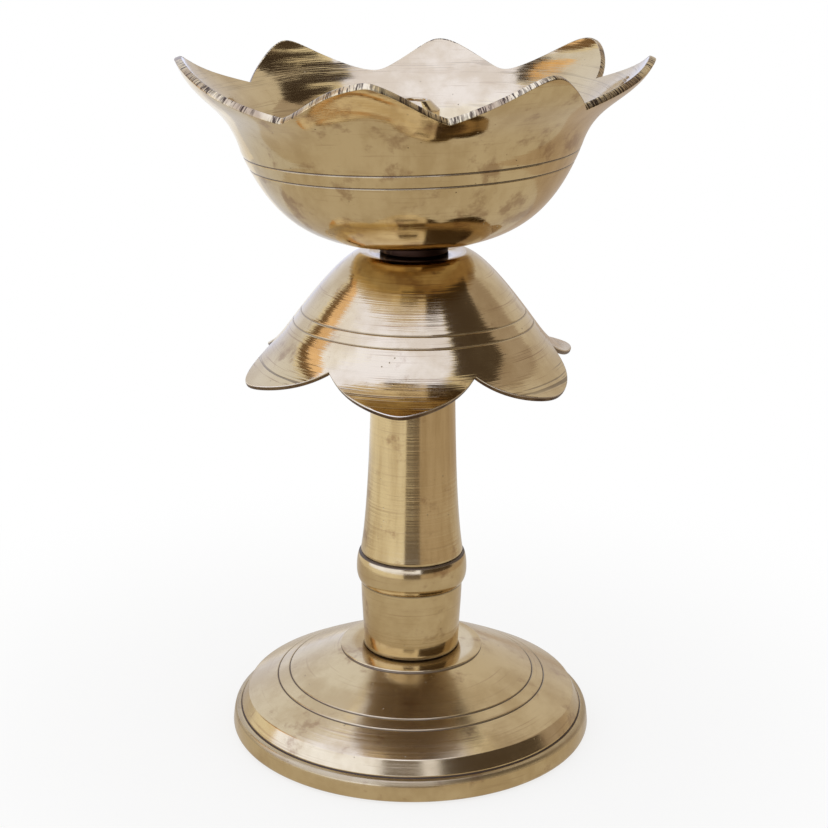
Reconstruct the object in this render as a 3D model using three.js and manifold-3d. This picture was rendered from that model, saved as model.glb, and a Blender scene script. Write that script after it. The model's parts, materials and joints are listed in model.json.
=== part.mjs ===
// A standing diya (oil lamp) of turned brass: a bowl with a petalled rim and a wick holder,
// over a petalled skirt, on a tapered column that screws into the socket of a round base.
// Millimetres, +Z up. The origin is the centre of the ring that the lamp stands on.
// Azimuths are in degrees: 0 is the front (-Y) and they grow towards the right (+X).
import * as THREE from 'three';
import Module from 'manifold-3d';

const wasm = await Module();
wasm.setup();

// Round base, a shallow dish that is hollow underneath
const BASE_R = 32.1;
const BASE_REST_OUTER_R = 30.6;
const BASE_REST_INNER_R = 28.0;
const BASE_BULGE_H = 1.2;
const BASE_ROLL_TOP_R = 31.2;
const BASE_ROLL_H = 4.1;
const BEVEL_FOOT_R = 30.6;
const BEVEL_FOOT_H = 4.35;
const SHOULDER_R = 29.3;
const SHOULDER_H = 6.8;
const PLATFORM_R = 12.65;
const PLATFORM_H = 15.2;
const PLATFORM_STEP = 0.5;
const BASE_WALL = 2.4;
const BASE_HOLLOW_H = 4.2;
const BOSS_R = 6.5;
const BOSS_FOOT_H = 6.0;
const BASE_GROOVES_FROM_SHOULDER = [5.3, 7.4];

// Screw and washer that hold the socket to the base from beneath
const SCREW_R = 2.5;
const SCREW_GRIP = 6.2;
const SCREW_HEAD_R = 4.5;
const SCREW_HEAD_H = 2.6;
const SCREW_SLOT_W = 1.1;
const SCREW_SLOT_DEPTH = 1.2;
const BASE_WASHER_R = 6.0;
const BASE_WASHER_T = 0.8;

// Socket: the lower stem, with a bead round its top
const SOCKET_H = 17.7;
const SOCKET_FOOT_R = 8.45;
const SOCKET_TOP_R = 8.95;
const BEAD_PROUD = 0.8;
const BEAD_FOOT_DROP = 5.4;
const BEAD_MIDDLE_DROP = 3.0;
const BEAD_TOP_STEP = 0.25;

// Tapered column
const COLUMN_H = 52.7;
const COLUMN_FOOT_R = 9.05;
const COLUMN_TOP_R = 7.0;

// Threaded rods, drawn as plain rods of the thread's outer diameter
const COLUMN_STUD_R = 3.175;
const COLUMN_STUD_GRIP = 7.62;
const BOWL_STUD_R = 2.38;
const BOWL_STUD_GRIP = 8.47;
const WICK_STUD_GRIP = 4.23;

// Petalled skirt under the bowl. Its edge and the bowl's are sawn by eye. Each petal gives the
// azimuths of its tip and of the valley after it, how round its tip is, and how far this tip is
// shifted outwards and up from the common one.
const SKIRT_TOP_R = 9.3;
const SKIRT_TOP_T = 1.3;
const SKIRT_WALL = 1.2;
const SKIRT_BEND_R = 21.7;
const SKIRT_BEND_DROP = 13.3;
const SKIRT_TIP_R = 30.9;
const SKIRT_TIP_DROP = 20.1;
const SKIRT_EDGE_WALL = 0.8;
const SKIRT_FLARE = [[0.36, 0.68], [0.36, 0.17]];
const SKIRT_PETAL_LENGTH = 7.1;
const SKIRT_PETALS = [
  { tip: -4, valley: 25, roundness: 0.15, shift: [-0.4, 0.2] },
  { tip: 53, valley: 86, roundness: 0.3, shift: [-1.5, 0.1] },
  { tip: 118, valley: 146, roundness: 0.3, shift: [-0.3, 0.8] },
  { tip: 175, valley: 205, roundness: 0.3, shift: [0, 0] },
  { tip: 230, valley: 266, roundness: 0.3, shift: [-0.6, 0.2] },
  { tip: 293, valley: 325, roundness: 0.2, shift: [-0.9, 0] },
];
const SKIRT_GROOVES_ABOVE_BEND = [1.6, 3.4];

// Neck ring between skirt and bowl
const NECK_R = 5.7;
const NECK_H = 1.5;

// Oil bowl. The petal at the far left is twice as wide, the one at the front is bent outwards,
// and two valleys at the back are filed round. The bowl leans, as its foot was not faced square.
const BOWL_FOOT_R = 5.9;
const BOWL_FLOOR_T = 1.5;
const BOWL_FLOOR_R = 7.4;
const BOWL_WALL = 1.15;
const BOWL_WAIST_R = 28.3;
const BOWL_WAIST_H = 16.6;
const BOWL_TIP_R = 39.4;
const BOWL_TIP_H = 30.1;
const BOWL_PETAL_DEPTH = 5.8;
const BOWL_GROOVES_BELOW_WAIST = [0.7, 2.8];
const BOWL_FLARE = [[0.22, 0.56], [0.26, 0.48]];
const BOWL_BENT_FLARE = [[0.22, 0.62], [0.28, 0.22]];
const BOWL_PETALS = [
  { tip: -9, valley: 10, roundness: 0.05, shift: [0, 0.5], bent: true },
  { tip: 34, valley: 52, roundness: 0.25, shift: [0, 0.5] },
  { tip: 84, valley: 110, roundness: 0.1, shift: [0.7, -0.1] },
  { tip: 124.5, valley: 150, roundness: 0.6, shift: [0, 0.6], valleyRoundness: 0.2 },
  { tip: 172, valley: 191, roundness: 0.4, shift: [0, -0.5], valleyRoundness: 0.3 },
  { tip: 216, valley: 236, roundness: 0.25, shift: [0, 0.6] },
  { tip: 275, valley: 325.5, roundness: 1.8, shift: [-1.25, 1.9] },
];
const BOWL_LEAN_DEG = 1.95;
const BOWL_LEAN_FROM_R = 8;
const BOWL_LEAN_FULL_R = 14;

// Wick holder, a bored tube that locks the bowl on its stud
const WICK_HOLDER_R = 4.1;
const WICK_HOLDER_H = 21.6;
const WICK_FLANGE_W = 1.3;
const WICK_FLANGE_T = 1.2;
const WICK_LIP_W = 0.6;
const WICK_BEVEL_H = 1.6;
const WICK_BORE_R = 1.8;
const WICK_WEB_T = 1.4;
const OIL_HOLE_R = 1.1;
const OIL_HOLE_RISE = 1.5;
const SEALING_WASHER_R = 5.6;
const SEALING_WASHER_T = 0.8;

// Fits and cut details
const SCREW_CLEARANCE = 0.2;
const STUD_CLEARANCE = 0.15;
const STUD_END_GAP = 0.4;
const GROOVE_W = 0.55;
const GROOVE_DEPTH = 0.28;
const SOFT_EDGE = 0.3;

// Facets: the angle of one facet on the petalled parts, and counts round the others
const PETAL_FACET_DEG = 5;
const BASE_SEGMENTS = 60;
const STEM_SEGMENTS = 40;
const ROD_SEGMENTS = 24;
const DRILL_SEGMENTS = 12;

// Heights of each piece's own foot above the ground, and radii of the bores
const BASE_WASHER_Z = BOSS_FOOT_H - BASE_WASHER_T;
const SOCKET_Z = PLATFORM_H;
const COLUMN_Z = SOCKET_Z + SOCKET_H;
const SKIRT_TOP_Z = COLUMN_Z + COLUMN_H + SKIRT_TOP_T;
const BOWL_Z = SKIRT_TOP_Z + NECK_H;
const BOWL_STUD_Z = COLUMN_Z + COLUMN_H - BOWL_STUD_GRIP;
const SEALING_WASHER_Z = BOWL_Z + BOWL_FLOOR_T;
const WICK_HOLDER_Z = SEALING_WASHER_Z + SEALING_WASHER_T;
const SCREW_BORE_R = SCREW_R + SCREW_CLEARANCE;
const COLUMN_STUD_BORE_R = COLUMN_STUD_R + STUD_CLEARANCE;
const BOWL_STUD_BORE_R = BOWL_STUD_R + STUD_CLEARANCE;

const Y_AXIS = new THREE.Vector3(0, 1, 0);
const vec = (r, z) => new THREE.Vector2(r, z);

/**
 * A cubic outline between two points. `leave` and `arrive` are its handles, as shares of the
 * run in r and of the rise in z, measured from the start and back from the end.
 */
function bend(start, end, leave, arrive) {
  const run = end.x - start.x;
  const rise = end.y - start.y;
  const first = vec(start.x + leave[0] * run, start.y + leave[1] * rise);
  const second = vec(end.x - arrive[0] * run, end.y - arrive[1] * rise);
  return new THREE.CubicBezierCurve(start, first, second, end);
}

/** Point of an outline at t, moved off it by `lift` to the left of its direction. */
function offsetPoint(curve, t, lift) {
  const point = curve.getPoint(t);
  const along = curve.getTangent(t);
  return vec(point.x - along.y * lift, point.y + along.x * lift);
}

/** The t at which an outline reaches a value of x or y, by halving. */
function reach(curve, axis, value) {
  const rising = curve.getPoint(1)[axis] > curve.getPoint(0)[axis];
  let low = 0;
  let high = 1;
  for (let step = 0; step < 40; step += 1) {
    const middle = (low + high) / 2;
    const below = curve.getPoint(middle)[axis] < value;
    if (below === rising) {
      low = middle;
    } else {
      high = middle;
    }
  }
  return (low + high) / 2;
}

/** Points along an outline with V grooves at the given t. `inward` is 1 or -1, left or right. */
function groovedPoints(curve, steps, grooveTs, inward) {
  const half = GROOVE_W / 2 / curve.getLength();
  const points = [];
  for (let step = 0; step <= steps; step += 1) {
    const t = step / steps;
    if (grooveTs.every((groove) => Math.abs(t - groove) > 1.5 * half)) {
      points.push({ t, point: curve.getPoint(t) });
    }
  }
  for (const groove of grooveTs) {
    points.push({ t: groove - half, point: curve.getPoint(groove - half) });
    points.push({ t: groove, point: offsetPoint(curve, groove, inward * GROOVE_DEPTH) });
    points.push({ t: groove + half, point: curve.getPoint(groove + half) });
  }
  points.sort((a, b) => a.t - b.t);
  return points.map((entry) => entry.point);
}

/** Even azimuths in radians for a plain round piece. */
function evenAzimuths(segments) {
  return Array.from({ length: segments + 1 }, (_, i) => (2 * Math.PI * i) / segments);
}

/** Azimuths in radians that put a facet edge on every petal tip and in every valley. */
function petalAzimuths(marks) {
  const sorted = [...marks].sort((a, b) => a - b);
  const azimuths = [];
  sorted.forEach((mark, i) => {
    const next = i + 1 < sorted.length ? sorted[i + 1] : sorted[0] + 360;
    const count = Math.max(2, Math.round((next - mark) / PETAL_FACET_DEG));
    for (let step = 0; step < count; step += 1) {
      azimuths.push(mark + ((next - mark) * step) / count);
    }
  });
  azimuths.push(sorted[0] + 360);
  return azimuths.map(THREE.MathUtils.degToRad);
}

/** A curve from 0 to 1 that starts level, and runs on nearly straight where it is not round. */
function roundedRise(x, roundness) {
  const arc = (value) => Math.hypot(value, roundness) - roundness;
  return arc(x) / arc(1);
}

/**
 * The petal that an azimuth lies in, with the share of its length that stands there, 0 in a
 * valley and 1 at the tip, and with its crown, which swells from 0 to 1 and back across it.
 */
function petalAt(azimuth, petals) {
  const turn = (from, to) => THREE.MathUtils.euclideanModulo(to - from, 360);
  const degrees = THREE.MathUtils.radToDeg(azimuth);
  const ahead = petals.map((petal) => turn(degrees, petal.valley));
  const index = ahead.indexOf(Math.min(...ahead));
  const petal = petals[index];
  const before = petals.at(index - 1);
  const width = turn(before.valley, petal.valley);
  const across = turn(before.valley, degrees) / width;
  const tipAcross = turn(before.valley, petal.tip) / width;
  const isPastTip = across > tipAcross;
  const fromValley = isPastTip ? (1 - across) / (1 - tipAcross) : across / tipAcross;
  const { valleyRoundness = 0 } = isPastTip ? petal : before;
  const toTip = 1 - roundedRise(fromValley, valleyRoundness);
  const share = 1 - roundedRise(toTip, petal.roundness);
  return { petal, share, crown: Math.sin(Math.PI * across) ** 2 };
}

/** Azimuths in degrees of the petals' tips and valleys. */
function petalMarks(petals) {
  return petals.flatMap(({ tip, valley }) => [tip, valley]);
}

/** The point (r, z) of a row at an azimuth: a row is a point, or a function of the azimuth. */
function rowPoint(row, azimuth) {
  return typeof row === 'function' ? row(azimuth) : row;
}

/** A body turned about Z from rows that run counterclockwise in (r, z), foot first. */
function turned(rows, azimuths) {
  const outline = rows.map((row) => rowPoint(row, azimuths[0]));
  const geometry = new THREE.LatheGeometry(outline, azimuths.length - 1);
  const position = geometry.getAttribute('position');
  azimuths.forEach((azimuth, i) => {
    rows.forEach((row, j) => {
      const point = rowPoint(row, azimuth);
      const x = point.x * Math.sin(azimuth);
      const y = -point.x * Math.cos(azimuth);
      position.setXYZ(i * rows.length + j, x, y, point.y);
    });
  });
  return welded(geometry);
}

/** The same surface with shared corners and without triangles of no area. */
function welded(geometry) {
  const position = geometry.getAttribute('position');
  const index = geometry.getIndex();
  const corners = new Map();
  const vertices = [];
  const renumber = [];
  for (let i = 0; i < position.count; i += 1) {
    const corner = [position.getX(i), position.getY(i), position.getZ(i)];
    const key = corner.map((value) => Math.round(value * 1e4) + 0).join(',');
    if (!corners.has(key)) {
      corners.set(key, vertices.length / 3);
      vertices.push(...corner);
    }
    renumber.push(corners.get(key));
  }
  const triangles = [];
  for (let i = 0; i < index.count; i += 3) {
    const [a, b, c] = [0, 1, 2].map((k) => renumber[index.getX(i + k)]);
    if (a !== b && b !== c && c !== a) {
      triangles.push(a, b, c);
    }
  }
  const result = new THREE.BufferGeometry();
  result.setAttribute('position', new THREE.Float32BufferAttribute(vertices, 3));
  result.setIndex(triangles);
  return result;
}

/** One body minus another. */
function cut(geometry, tool) {
  const [body, cutter] = [geometry, tool].map((shape) => new wasm.Manifold(new wasm.Mesh({
    numProp: 3,
    vertProperties: new Float32Array(shape.getAttribute('position').array),
    triVerts: new Uint32Array(shape.getIndex().array),
  })));
  const mesh = body.subtract(cutter).getMesh();
  const result = new THREE.BufferGeometry();
  result.setAttribute('position', new THREE.Float32BufferAttribute(mesh.vertProperties, 3));
  result.setIndex([...mesh.triVerts]);
  return result;
}

/** A flat ring with its foot at z = 0. */
function flatRing(outerR, innerR, height) {
  const rows = [vec(innerR, 0), vec(outerR, 0), vec(outerR, height), vec(innerR, height)];
  return turned([...rows, rows[0]], evenAzimuths(ROD_SEGMENTS));
}

/** A rod with small bevels at both ends, its foot at z = 0. */
function rod(radius, length) {
  const rows = [
    vec(0, 0),
    vec(radius - SOFT_EDGE, 0),
    vec(radius, SOFT_EDGE),
    vec(radius, length - SOFT_EDGE),
    vec(radius - SOFT_EDGE, length),
    vec(0, length),
  ];
  return turned(rows, evenAzimuths(ROD_SEGMENTS));
}

/** Dished base: resting ring, rolled foot, bevel, grooved slope, raised platform and boss. */
function baseFoot() {
  const restEdge = vec(BASE_REST_OUTER_R, 0);
  const bulge = vec(BASE_R, BASE_BULGE_H);
  const rollTop = vec(BASE_ROLL_TOP_R, BASE_ROLL_H);
  const shoulder = vec(SHOULDER_R, SHOULDER_H);
  const slopeTop = vec(PLATFORM_R, PLATFORM_H - PLATFORM_STEP);
  const lowerRoll = bend(restEdge, bulge, [0.6, 0.1], [0, 0.6]);
  const upperRoll = bend(bulge, rollTop, [0.2, 0.85], [0.4, 0]);
  const slope = bend(shoulder, slopeTop, [0.26, 0.3], [0.29, 0.25]);
  const grooves = BASE_GROOVES_FROM_SHOULDER.map((inset) => reach(slope, 'x', SHOULDER_R - inset));
  const underside = [0.9, 0.6, 0.3, 0.06].map((t) => offsetPoint(slope, t, BASE_WALL));
  const rows = [
    vec(SCREW_BORE_R, BOSS_FOOT_H),
    vec(BOSS_R, BOSS_FOOT_H),
    vec(BOSS_R, PLATFORM_H - BASE_WALL),
    ...underside,
    vec(BASE_REST_INNER_R, BASE_HOLLOW_H),
    vec(BASE_REST_INNER_R, 0),
    ...lowerRoll.getPoints(2),
    ...upperRoll.getPoints(3).slice(1),
    vec(BEVEL_FOOT_R, BEVEL_FOOT_H),
    ...groovedPoints(slope, 6, grooves, 1),
    vec(PLATFORM_R, PLATFORM_H - SOFT_EDGE / 2),
    vec(PLATFORM_R - SOFT_EDGE / 2, PLATFORM_H),
    vec(SCREW_BORE_R, PLATFORM_H),
  ];
  return turned([...rows, rows[0]], evenAzimuths(BASE_SEGMENTS));
}

/** Slotted round-head screw with its tip up, the crown of its head at z = 0. */
function baseScrew() {
  const tip = SCREW_HEAD_H + BASE_WASHER_T + PLATFORM_H - BOSS_FOOT_H + SCREW_GRIP;
  const crown = bend(vec(0, 0), vec(SCREW_HEAD_R, SCREW_HEAD_H), [0.6, 0], [0, 0.6]);
  const rows = [
    ...crown.getPoints(4),
    vec(SCREW_R, SCREW_HEAD_H),
    vec(SCREW_R, tip - SOFT_EDGE),
    vec(SCREW_R - SOFT_EDGE, tip),
    vec(0, tip),
  ];
  const slot = new THREE.BoxGeometry(3 * SCREW_HEAD_R, SCREW_SLOT_W, 2 * SCREW_SLOT_DEPTH);
  return cut(turned(rows, evenAzimuths(ROD_SEGMENTS)), welded(slot));
}

/** Lower stem: a nearly straight drum under a round bead, tapped at both ends. */
function stemSocket() {
  const screwDepth = SCREW_GRIP + STUD_END_GAP;
  const studFloor = SOCKET_H - COLUMN_STUD_GRIP - STUD_END_GAP;
  const beadFoot = vec(SOCKET_TOP_R, SOCKET_H - BEAD_FOOT_DROP);
  const beadMiddle = vec(SOCKET_TOP_R + BEAD_PROUD, SOCKET_H - BEAD_MIDDLE_DROP);
  const beadTop = vec(COLUMN_FOOT_R + BEAD_TOP_STEP, SOCKET_H);
  const drum = bend(vec(SOCKET_FOOT_R, SOFT_EDGE), beadFoot, [0.2, 0.4], [0, 0.3]);
  const lowerBead = bend(beadFoot, beadMiddle, [0.6, 0.1], [0, 0.5]);
  const upperBead = bend(beadMiddle, beadTop, [0, 0.5], [0.6, 0.2]);
  const rows = [
    vec(0, screwDepth),
    vec(SCREW_BORE_R, screwDepth),
    vec(SCREW_BORE_R, 0),
    vec(SOCKET_FOOT_R - SOFT_EDGE / 2, 0),
    ...drum.getPoints(3),
    ...lowerBead.getPoints(3).slice(1),
    ...upperBead.getPoints(3).slice(1),
    vec(COLUMN_STUD_BORE_R, SOCKET_H),
    vec(COLUMN_STUD_BORE_R, studFloor),
    vec(0, studFloor),
  ];
  return turned(rows, evenAzimuths(STEM_SEGMENTS));
}

/** Tapered column, tapped at both ends. */
function stemColumn() {
  const foot = vec(COLUMN_FOOT_R, SOFT_EDGE);
  const side = bend(foot, vec(COLUMN_TOP_R, COLUMN_H), [0.95, 0.22], [0.11, 0.23]);
  const footBore = COLUMN_STUD_GRIP + STUD_END_GAP;
  const topBoreFloor = COLUMN_H - BOWL_STUD_GRIP - STUD_END_GAP;
  const rows = [
    vec(0, footBore),
    vec(COLUMN_STUD_BORE_R, footBore),
    vec(COLUMN_STUD_BORE_R, 0),
    vec(COLUMN_FOOT_R - SOFT_EDGE, 0),
    ...side.getPoints(9),
    vec(BOWL_STUD_BORE_R, COLUMN_H),
    vec(BOWL_STUD_BORE_R, topBoreFloor),
    vec(0, topBoreFloor),
  ];
  return turned(rows, evenAzimuths(STEM_SEGMENTS));
}

/** Skirt: a flat crown and a flared wall sawn into six petals. The crown's top is z = 0. */
function petalSkirt() {
  const crownEdge = vec(SKIRT_TOP_R, 0);
  const waist = vec(SKIRT_BEND_R, -SKIRT_BEND_DROP);
  const tip = vec(SKIRT_TIP_R, -SKIRT_TIP_DROP);
  const shoulder = bend(crownEdge, waist, [0.3, 0.08], [0.13, 0.16]);
  const flare = bend(waist, tip, ...SKIRT_FLARE);
  const valleyT = reach(flare, 'x', SKIRT_TIP_R - SKIRT_PETAL_LENGTH);
  const lip = (t, wall) => (azimuth) => {
    const { petal, share, crown } = petalAt(azimuth, SKIRT_PETALS);
    const ownTip = tip.clone().addScaledVector(vec(...petal.shift), crown);
    const ownFlare = bend(waist, ownTip, ...SKIRT_FLARE);
    return offsetPoint(ownFlare, t * THREE.MathUtils.lerp(valleyT, 1, share), -wall);
  };
  const wallAt = (t) => THREE.MathUtils.lerp(SKIRT_WALL, SKIRT_EDGE_WALL, t);
  const lipSteps = [0.25, 0.5, 0.75, 1];
  const grooves = SKIRT_GROOVES_ABOVE_BEND.map((rise) => (
    reach(shoulder, 'y', rise - SKIRT_BEND_DROP)));
  const inside = [0.2, 0.4, 0.6, 0.8, 1].map((t) => offsetPoint(shoulder, t, -SKIRT_WALL));
  const rows = [
    vec(BOWL_STUD_BORE_R, -SKIRT_TOP_T),
    vec(SKIRT_TOP_R - SOFT_EDGE, -SKIRT_TOP_T),
    ...inside,
    ...lipSteps.map((t) => lip(t, wallAt(t))),
    ...lipSteps.map((t) => lip(t, 0)).reverse(),
    ...groovedPoints(shoulder, 7, grooves, -1).reverse(),
    vec(BOWL_STUD_BORE_R, 0),
  ];
  return turned([...rows, rows[0]], petalAzimuths(petalMarks(SKIRT_PETALS)));
}

/** The bowl's body, leaned to the left beyond its flat foot and floor. */
function leaned(geometry) {
  const position = geometry.getAttribute('position');
  const corner = new THREE.Vector3();
  for (let i = 0; i < position.count; i += 1) {
    corner.fromBufferAttribute(position, i);
    const r = Math.hypot(corner.x, corner.y);
    const share = THREE.MathUtils.smoothstep(r, BOWL_LEAN_FROM_R, BOWL_LEAN_FULL_R);
    const angle = -share * THREE.MathUtils.degToRad(BOWL_LEAN_DEG);
    corner.applyAxisAngle(Y_AXIS, angle);
    position.setXYZ(i, corner.x, corner.y, corner.z);
  }
  return geometry;
}

/** Bowl: flat foot, round belly, flared lip sawn into seven uneven petals. */
function oilBowl() {
  const waist = vec(BOWL_WAIST_R, BOWL_WAIST_H);
  const belly = bend(vec(BOWL_FOOT_R, 0), waist, [0.49, 0.07], [0.22, 0.74]);
  const tip = vec(BOWL_TIP_R, BOWL_TIP_H);
  const flare = bend(waist, tip, ...BOWL_FLARE);
  const valleyT = reach(flare, 'y', BOWL_TIP_H - BOWL_PETAL_DEPTH);
  const lip = (t, lift) => (azimuth) => {
    const { petal, share, crown } = petalAt(azimuth, BOWL_PETALS);
    const ownTip = tip.clone().addScaledVector(vec(...petal.shift), crown);
    const unbent = bend(waist, ownTip, ...BOWL_FLARE);
    const bent = bend(waist, ownTip, ...BOWL_BENT_FLARE);
    const keep = t * THREE.MathUtils.lerp(valleyT, 1, share);
    const point = offsetPoint(unbent, keep, lift);
    return petal.bent ? point.lerp(offsetPoint(bent, keep, lift), crown) : point;
  };
  const lipSteps = [0.25, 0.5, 0.75, 1];
  const grooves = BOWL_GROOVES_BELOW_WAIST.map((drop) => reach(belly, 'y', BOWL_WAIST_H - drop));
  const inside = [1, 0.85, 0.7, 0.55, 0.4, 0.25].map((t) => offsetPoint(belly, t, BOWL_WALL));
  const rows = [
    vec(BOWL_STUD_BORE_R, 0),
    ...groovedPoints(belly, 9, grooves, 1),
    ...lipSteps.map((t) => lip(t, 0)),
    ...lipSteps.map((t) => lip(t, BOWL_WALL)).reverse(),
    ...inside,
    vec(BOWL_FLOOR_R, BOWL_FLOOR_T),
    vec(BOWL_STUD_BORE_R, BOWL_FLOOR_T),
  ];
  return leaned(turned([...rows, rows[0]], petalAzimuths(petalMarks(BOWL_PETALS))));
}

/** Wick holder: flanged tube with a bevelled top, a wick bore and two oil holes at its foot. */
function wickHolder() {
  const tapDepth = WICK_STUD_GRIP + STUD_END_GAP;
  const wickFloor = tapDepth + WICK_WEB_T;
  const flangeR = WICK_HOLDER_R + WICK_FLANGE_W;
  const rows = [
    vec(0, tapDepth),
    vec(BOWL_STUD_BORE_R, tapDepth),
    vec(BOWL_STUD_BORE_R, 0),
    vec(flangeR, 0),
    vec(flangeR, WICK_FLANGE_T - SOFT_EDGE),
    vec(flangeR - SOFT_EDGE, WICK_FLANGE_T),
    vec(WICK_HOLDER_R, WICK_FLANGE_T),
    vec(WICK_HOLDER_R, WICK_HOLDER_H - WICK_BEVEL_H),
    vec(WICK_BORE_R + WICK_LIP_W, WICK_HOLDER_H),
    vec(WICK_BORE_R, WICK_HOLDER_H),
    vec(WICK_BORE_R, wickFloor),
    vec(0, wickFloor),
  ];
  const drill = new THREE.CylinderGeometry(
    OIL_HOLE_R, OIL_HOLE_R, 3 * WICK_HOLDER_R, DRILL_SEGMENTS);
  drill.rotateZ(Math.PI / 2);
  drill.translate(0, 0, wickFloor + OIL_HOLE_RISE);
  return cut(turned(rows, evenAzimuths(ROD_SEGMENTS)), welded(drill));
}

/** A metal of the given colour and roughness. */
function metal(color, roughness) {
  return new THREE.MeshStandardMaterial({ color, roughness, metalness: 1 });
}

const polishedBrass = metal(0xb9a06a, 0.22);
const turnedBrass = metal(0xb0975f, 0.34);
const castBrass = metal(0x9c8350, 0.5);
const rodBrass = metal(0xa58d58, 0.4);
const screwSteel = metal(0x8c8c88, 0.4);

const lamp = new THREE.Group();
lamp.name = 'standing_diya';

/** Adds one piece to the lamp, with its own z = 0 at the given height. */
function place(name, geometry, material, height) {
  const mesh = new THREE.Mesh(geometry, material);
  mesh.name = name;
  mesh.position.set(0, 0, height);
  lamp.add(mesh);
}

const baseWasher = flatRing(BASE_WASHER_R, SCREW_BORE_R, BASE_WASHER_T);
const columnStud = rod(COLUMN_STUD_R, 2 * COLUMN_STUD_GRIP);
const neckRing = flatRing(NECK_R, BOWL_STUD_BORE_R, NECK_H);
const bowlStud = rod(BOWL_STUD_R, WICK_HOLDER_Z + WICK_STUD_GRIP - BOWL_STUD_Z);
const sealingWasher = flatRing(SEALING_WASHER_R, BOWL_STUD_BORE_R, SEALING_WASHER_T);

place('base_foot', baseFoot(), castBrass, 0);
place('base_washer', baseWasher, screwSteel, BASE_WASHER_Z);
place('base_screw', baseScrew(), screwSteel, BASE_WASHER_Z - SCREW_HEAD_H);
place('stem_socket', stemSocket(), turnedBrass, SOCKET_Z);
place('column_stud', columnStud, rodBrass, COLUMN_Z - COLUMN_STUD_GRIP);
place('stem_column', stemColumn(), turnedBrass, COLUMN_Z);
place('petal_skirt', petalSkirt(), turnedBrass, SKIRT_TOP_Z);
place('neck_ring', neckRing, castBrass, SKIRT_TOP_Z);
place('oil_bowl', oilBowl(), polishedBrass, BOWL_Z);
place('bowl_stud', bowlStud, rodBrass, BOWL_STUD_Z);
place('sealing_washer', sealingWasher, turnedBrass, SEALING_WASHER_Z);
place('wick_holder', wickHolder(), polishedBrass, WICK_HOLDER_Z);

export default lamp;
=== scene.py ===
"""Dresses a packed standing diya, an oil lamp of turned brass, in fine surfaces and worn finishes.

Outlines are pairs (r, z) in millimetres that run counterclockwise: out along the foot, up the
outside and back down the inside. Azimuths are in degrees, 0 at the front (-Y) and growing
towards the right (+X). Meshes are in metres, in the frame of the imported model.
"""

import json
import logging
import math
from dataclasses import dataclass
from enum import Enum
from functools import cached_property
from typing import Callable, Sequence

import bpy
import numpy as np
from mathutils import Matrix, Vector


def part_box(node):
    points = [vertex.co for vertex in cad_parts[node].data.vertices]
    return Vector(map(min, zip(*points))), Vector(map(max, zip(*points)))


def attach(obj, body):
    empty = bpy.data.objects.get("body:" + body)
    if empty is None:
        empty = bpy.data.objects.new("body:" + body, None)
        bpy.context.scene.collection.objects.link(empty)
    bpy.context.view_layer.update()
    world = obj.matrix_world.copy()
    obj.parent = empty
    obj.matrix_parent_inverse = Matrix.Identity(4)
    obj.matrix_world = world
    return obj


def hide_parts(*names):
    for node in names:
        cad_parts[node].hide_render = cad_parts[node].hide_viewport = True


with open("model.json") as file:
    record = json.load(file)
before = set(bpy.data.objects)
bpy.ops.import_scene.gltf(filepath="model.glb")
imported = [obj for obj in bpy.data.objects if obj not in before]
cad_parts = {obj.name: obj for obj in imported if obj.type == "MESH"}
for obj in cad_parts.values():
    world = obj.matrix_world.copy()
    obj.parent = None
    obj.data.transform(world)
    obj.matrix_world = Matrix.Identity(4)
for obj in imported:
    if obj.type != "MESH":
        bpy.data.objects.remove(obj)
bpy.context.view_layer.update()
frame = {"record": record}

LOG = logging.getLogger("diya")
MM = 0.001

Point = tuple[float, float]
Colour = tuple[float, float, float]


class Slot(Enum):
    """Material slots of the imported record."""

    POLISHED = "polished_brass"
    TURNED = "turned_brass"
    CAST = "cast_brass"
    ROD = "rod_brass"
    STEEL = "screw_steel"


class Face(Enum):
    """Which finish a stretch of an outline takes."""

    OUTSIDE = 0
    INSIDE = 1
    SAWN = 2


def math_operator(operation: str, reflected: bool = False) -> Callable:
    """A method of Value that adds a Math node.

    Args:
        operation: The node's operation.
        reflected: Whether the value is the node's second input.

    Returns:
        The method.
    """

    def method(value: "Value", other: "Value | float") -> "Value":
        """Adds the node."""
        inputs = (other, value) if reflected else (value, other)
        node = value.recipe.node("ShaderNodeMath", {"operation": operation}, *inputs)
        return Value(value.recipe, node.outputs[0])

    return method


class Value:
    """A number socket of a material, whose arithmetic operators add Math nodes."""

    __add__ = math_operator("ADD")
    __radd__ = math_operator("ADD", reflected=True)
    __sub__ = math_operator("SUBTRACT")
    __rsub__ = math_operator("SUBTRACT", reflected=True)
    __mul__ = math_operator("MULTIPLY")
    __rmul__ = math_operator("MULTIPLY", reflected=True)
    __pow__ = math_operator("POWER")
    at_least = math_operator("MAXIMUM")

    def __init__(self, recipe: "Recipe", socket: bpy.types.NodeSocket) -> None:
        """Keeps the socket and the recipe that it belongs to."""
        self.recipe = recipe
        self.socket = socket

    def between(self, low: float, high: float) -> "Value":
        """A smooth mask from 0 at `low` to 1 at `high`, which may be the smaller one."""
        flipped = low > high
        ends = (1.0, 0.0) if flipped else (0.0, 1.0)
        settings = {"interpolation_type": "SMOOTHSTEP"}
        lower, upper = min(low, high), max(low, high)
        node = self.recipe.node("ShaderNodeMapRange", settings, self, lower, upper, *ends)
        return Value(self.recipe, node.outputs[0])


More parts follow.
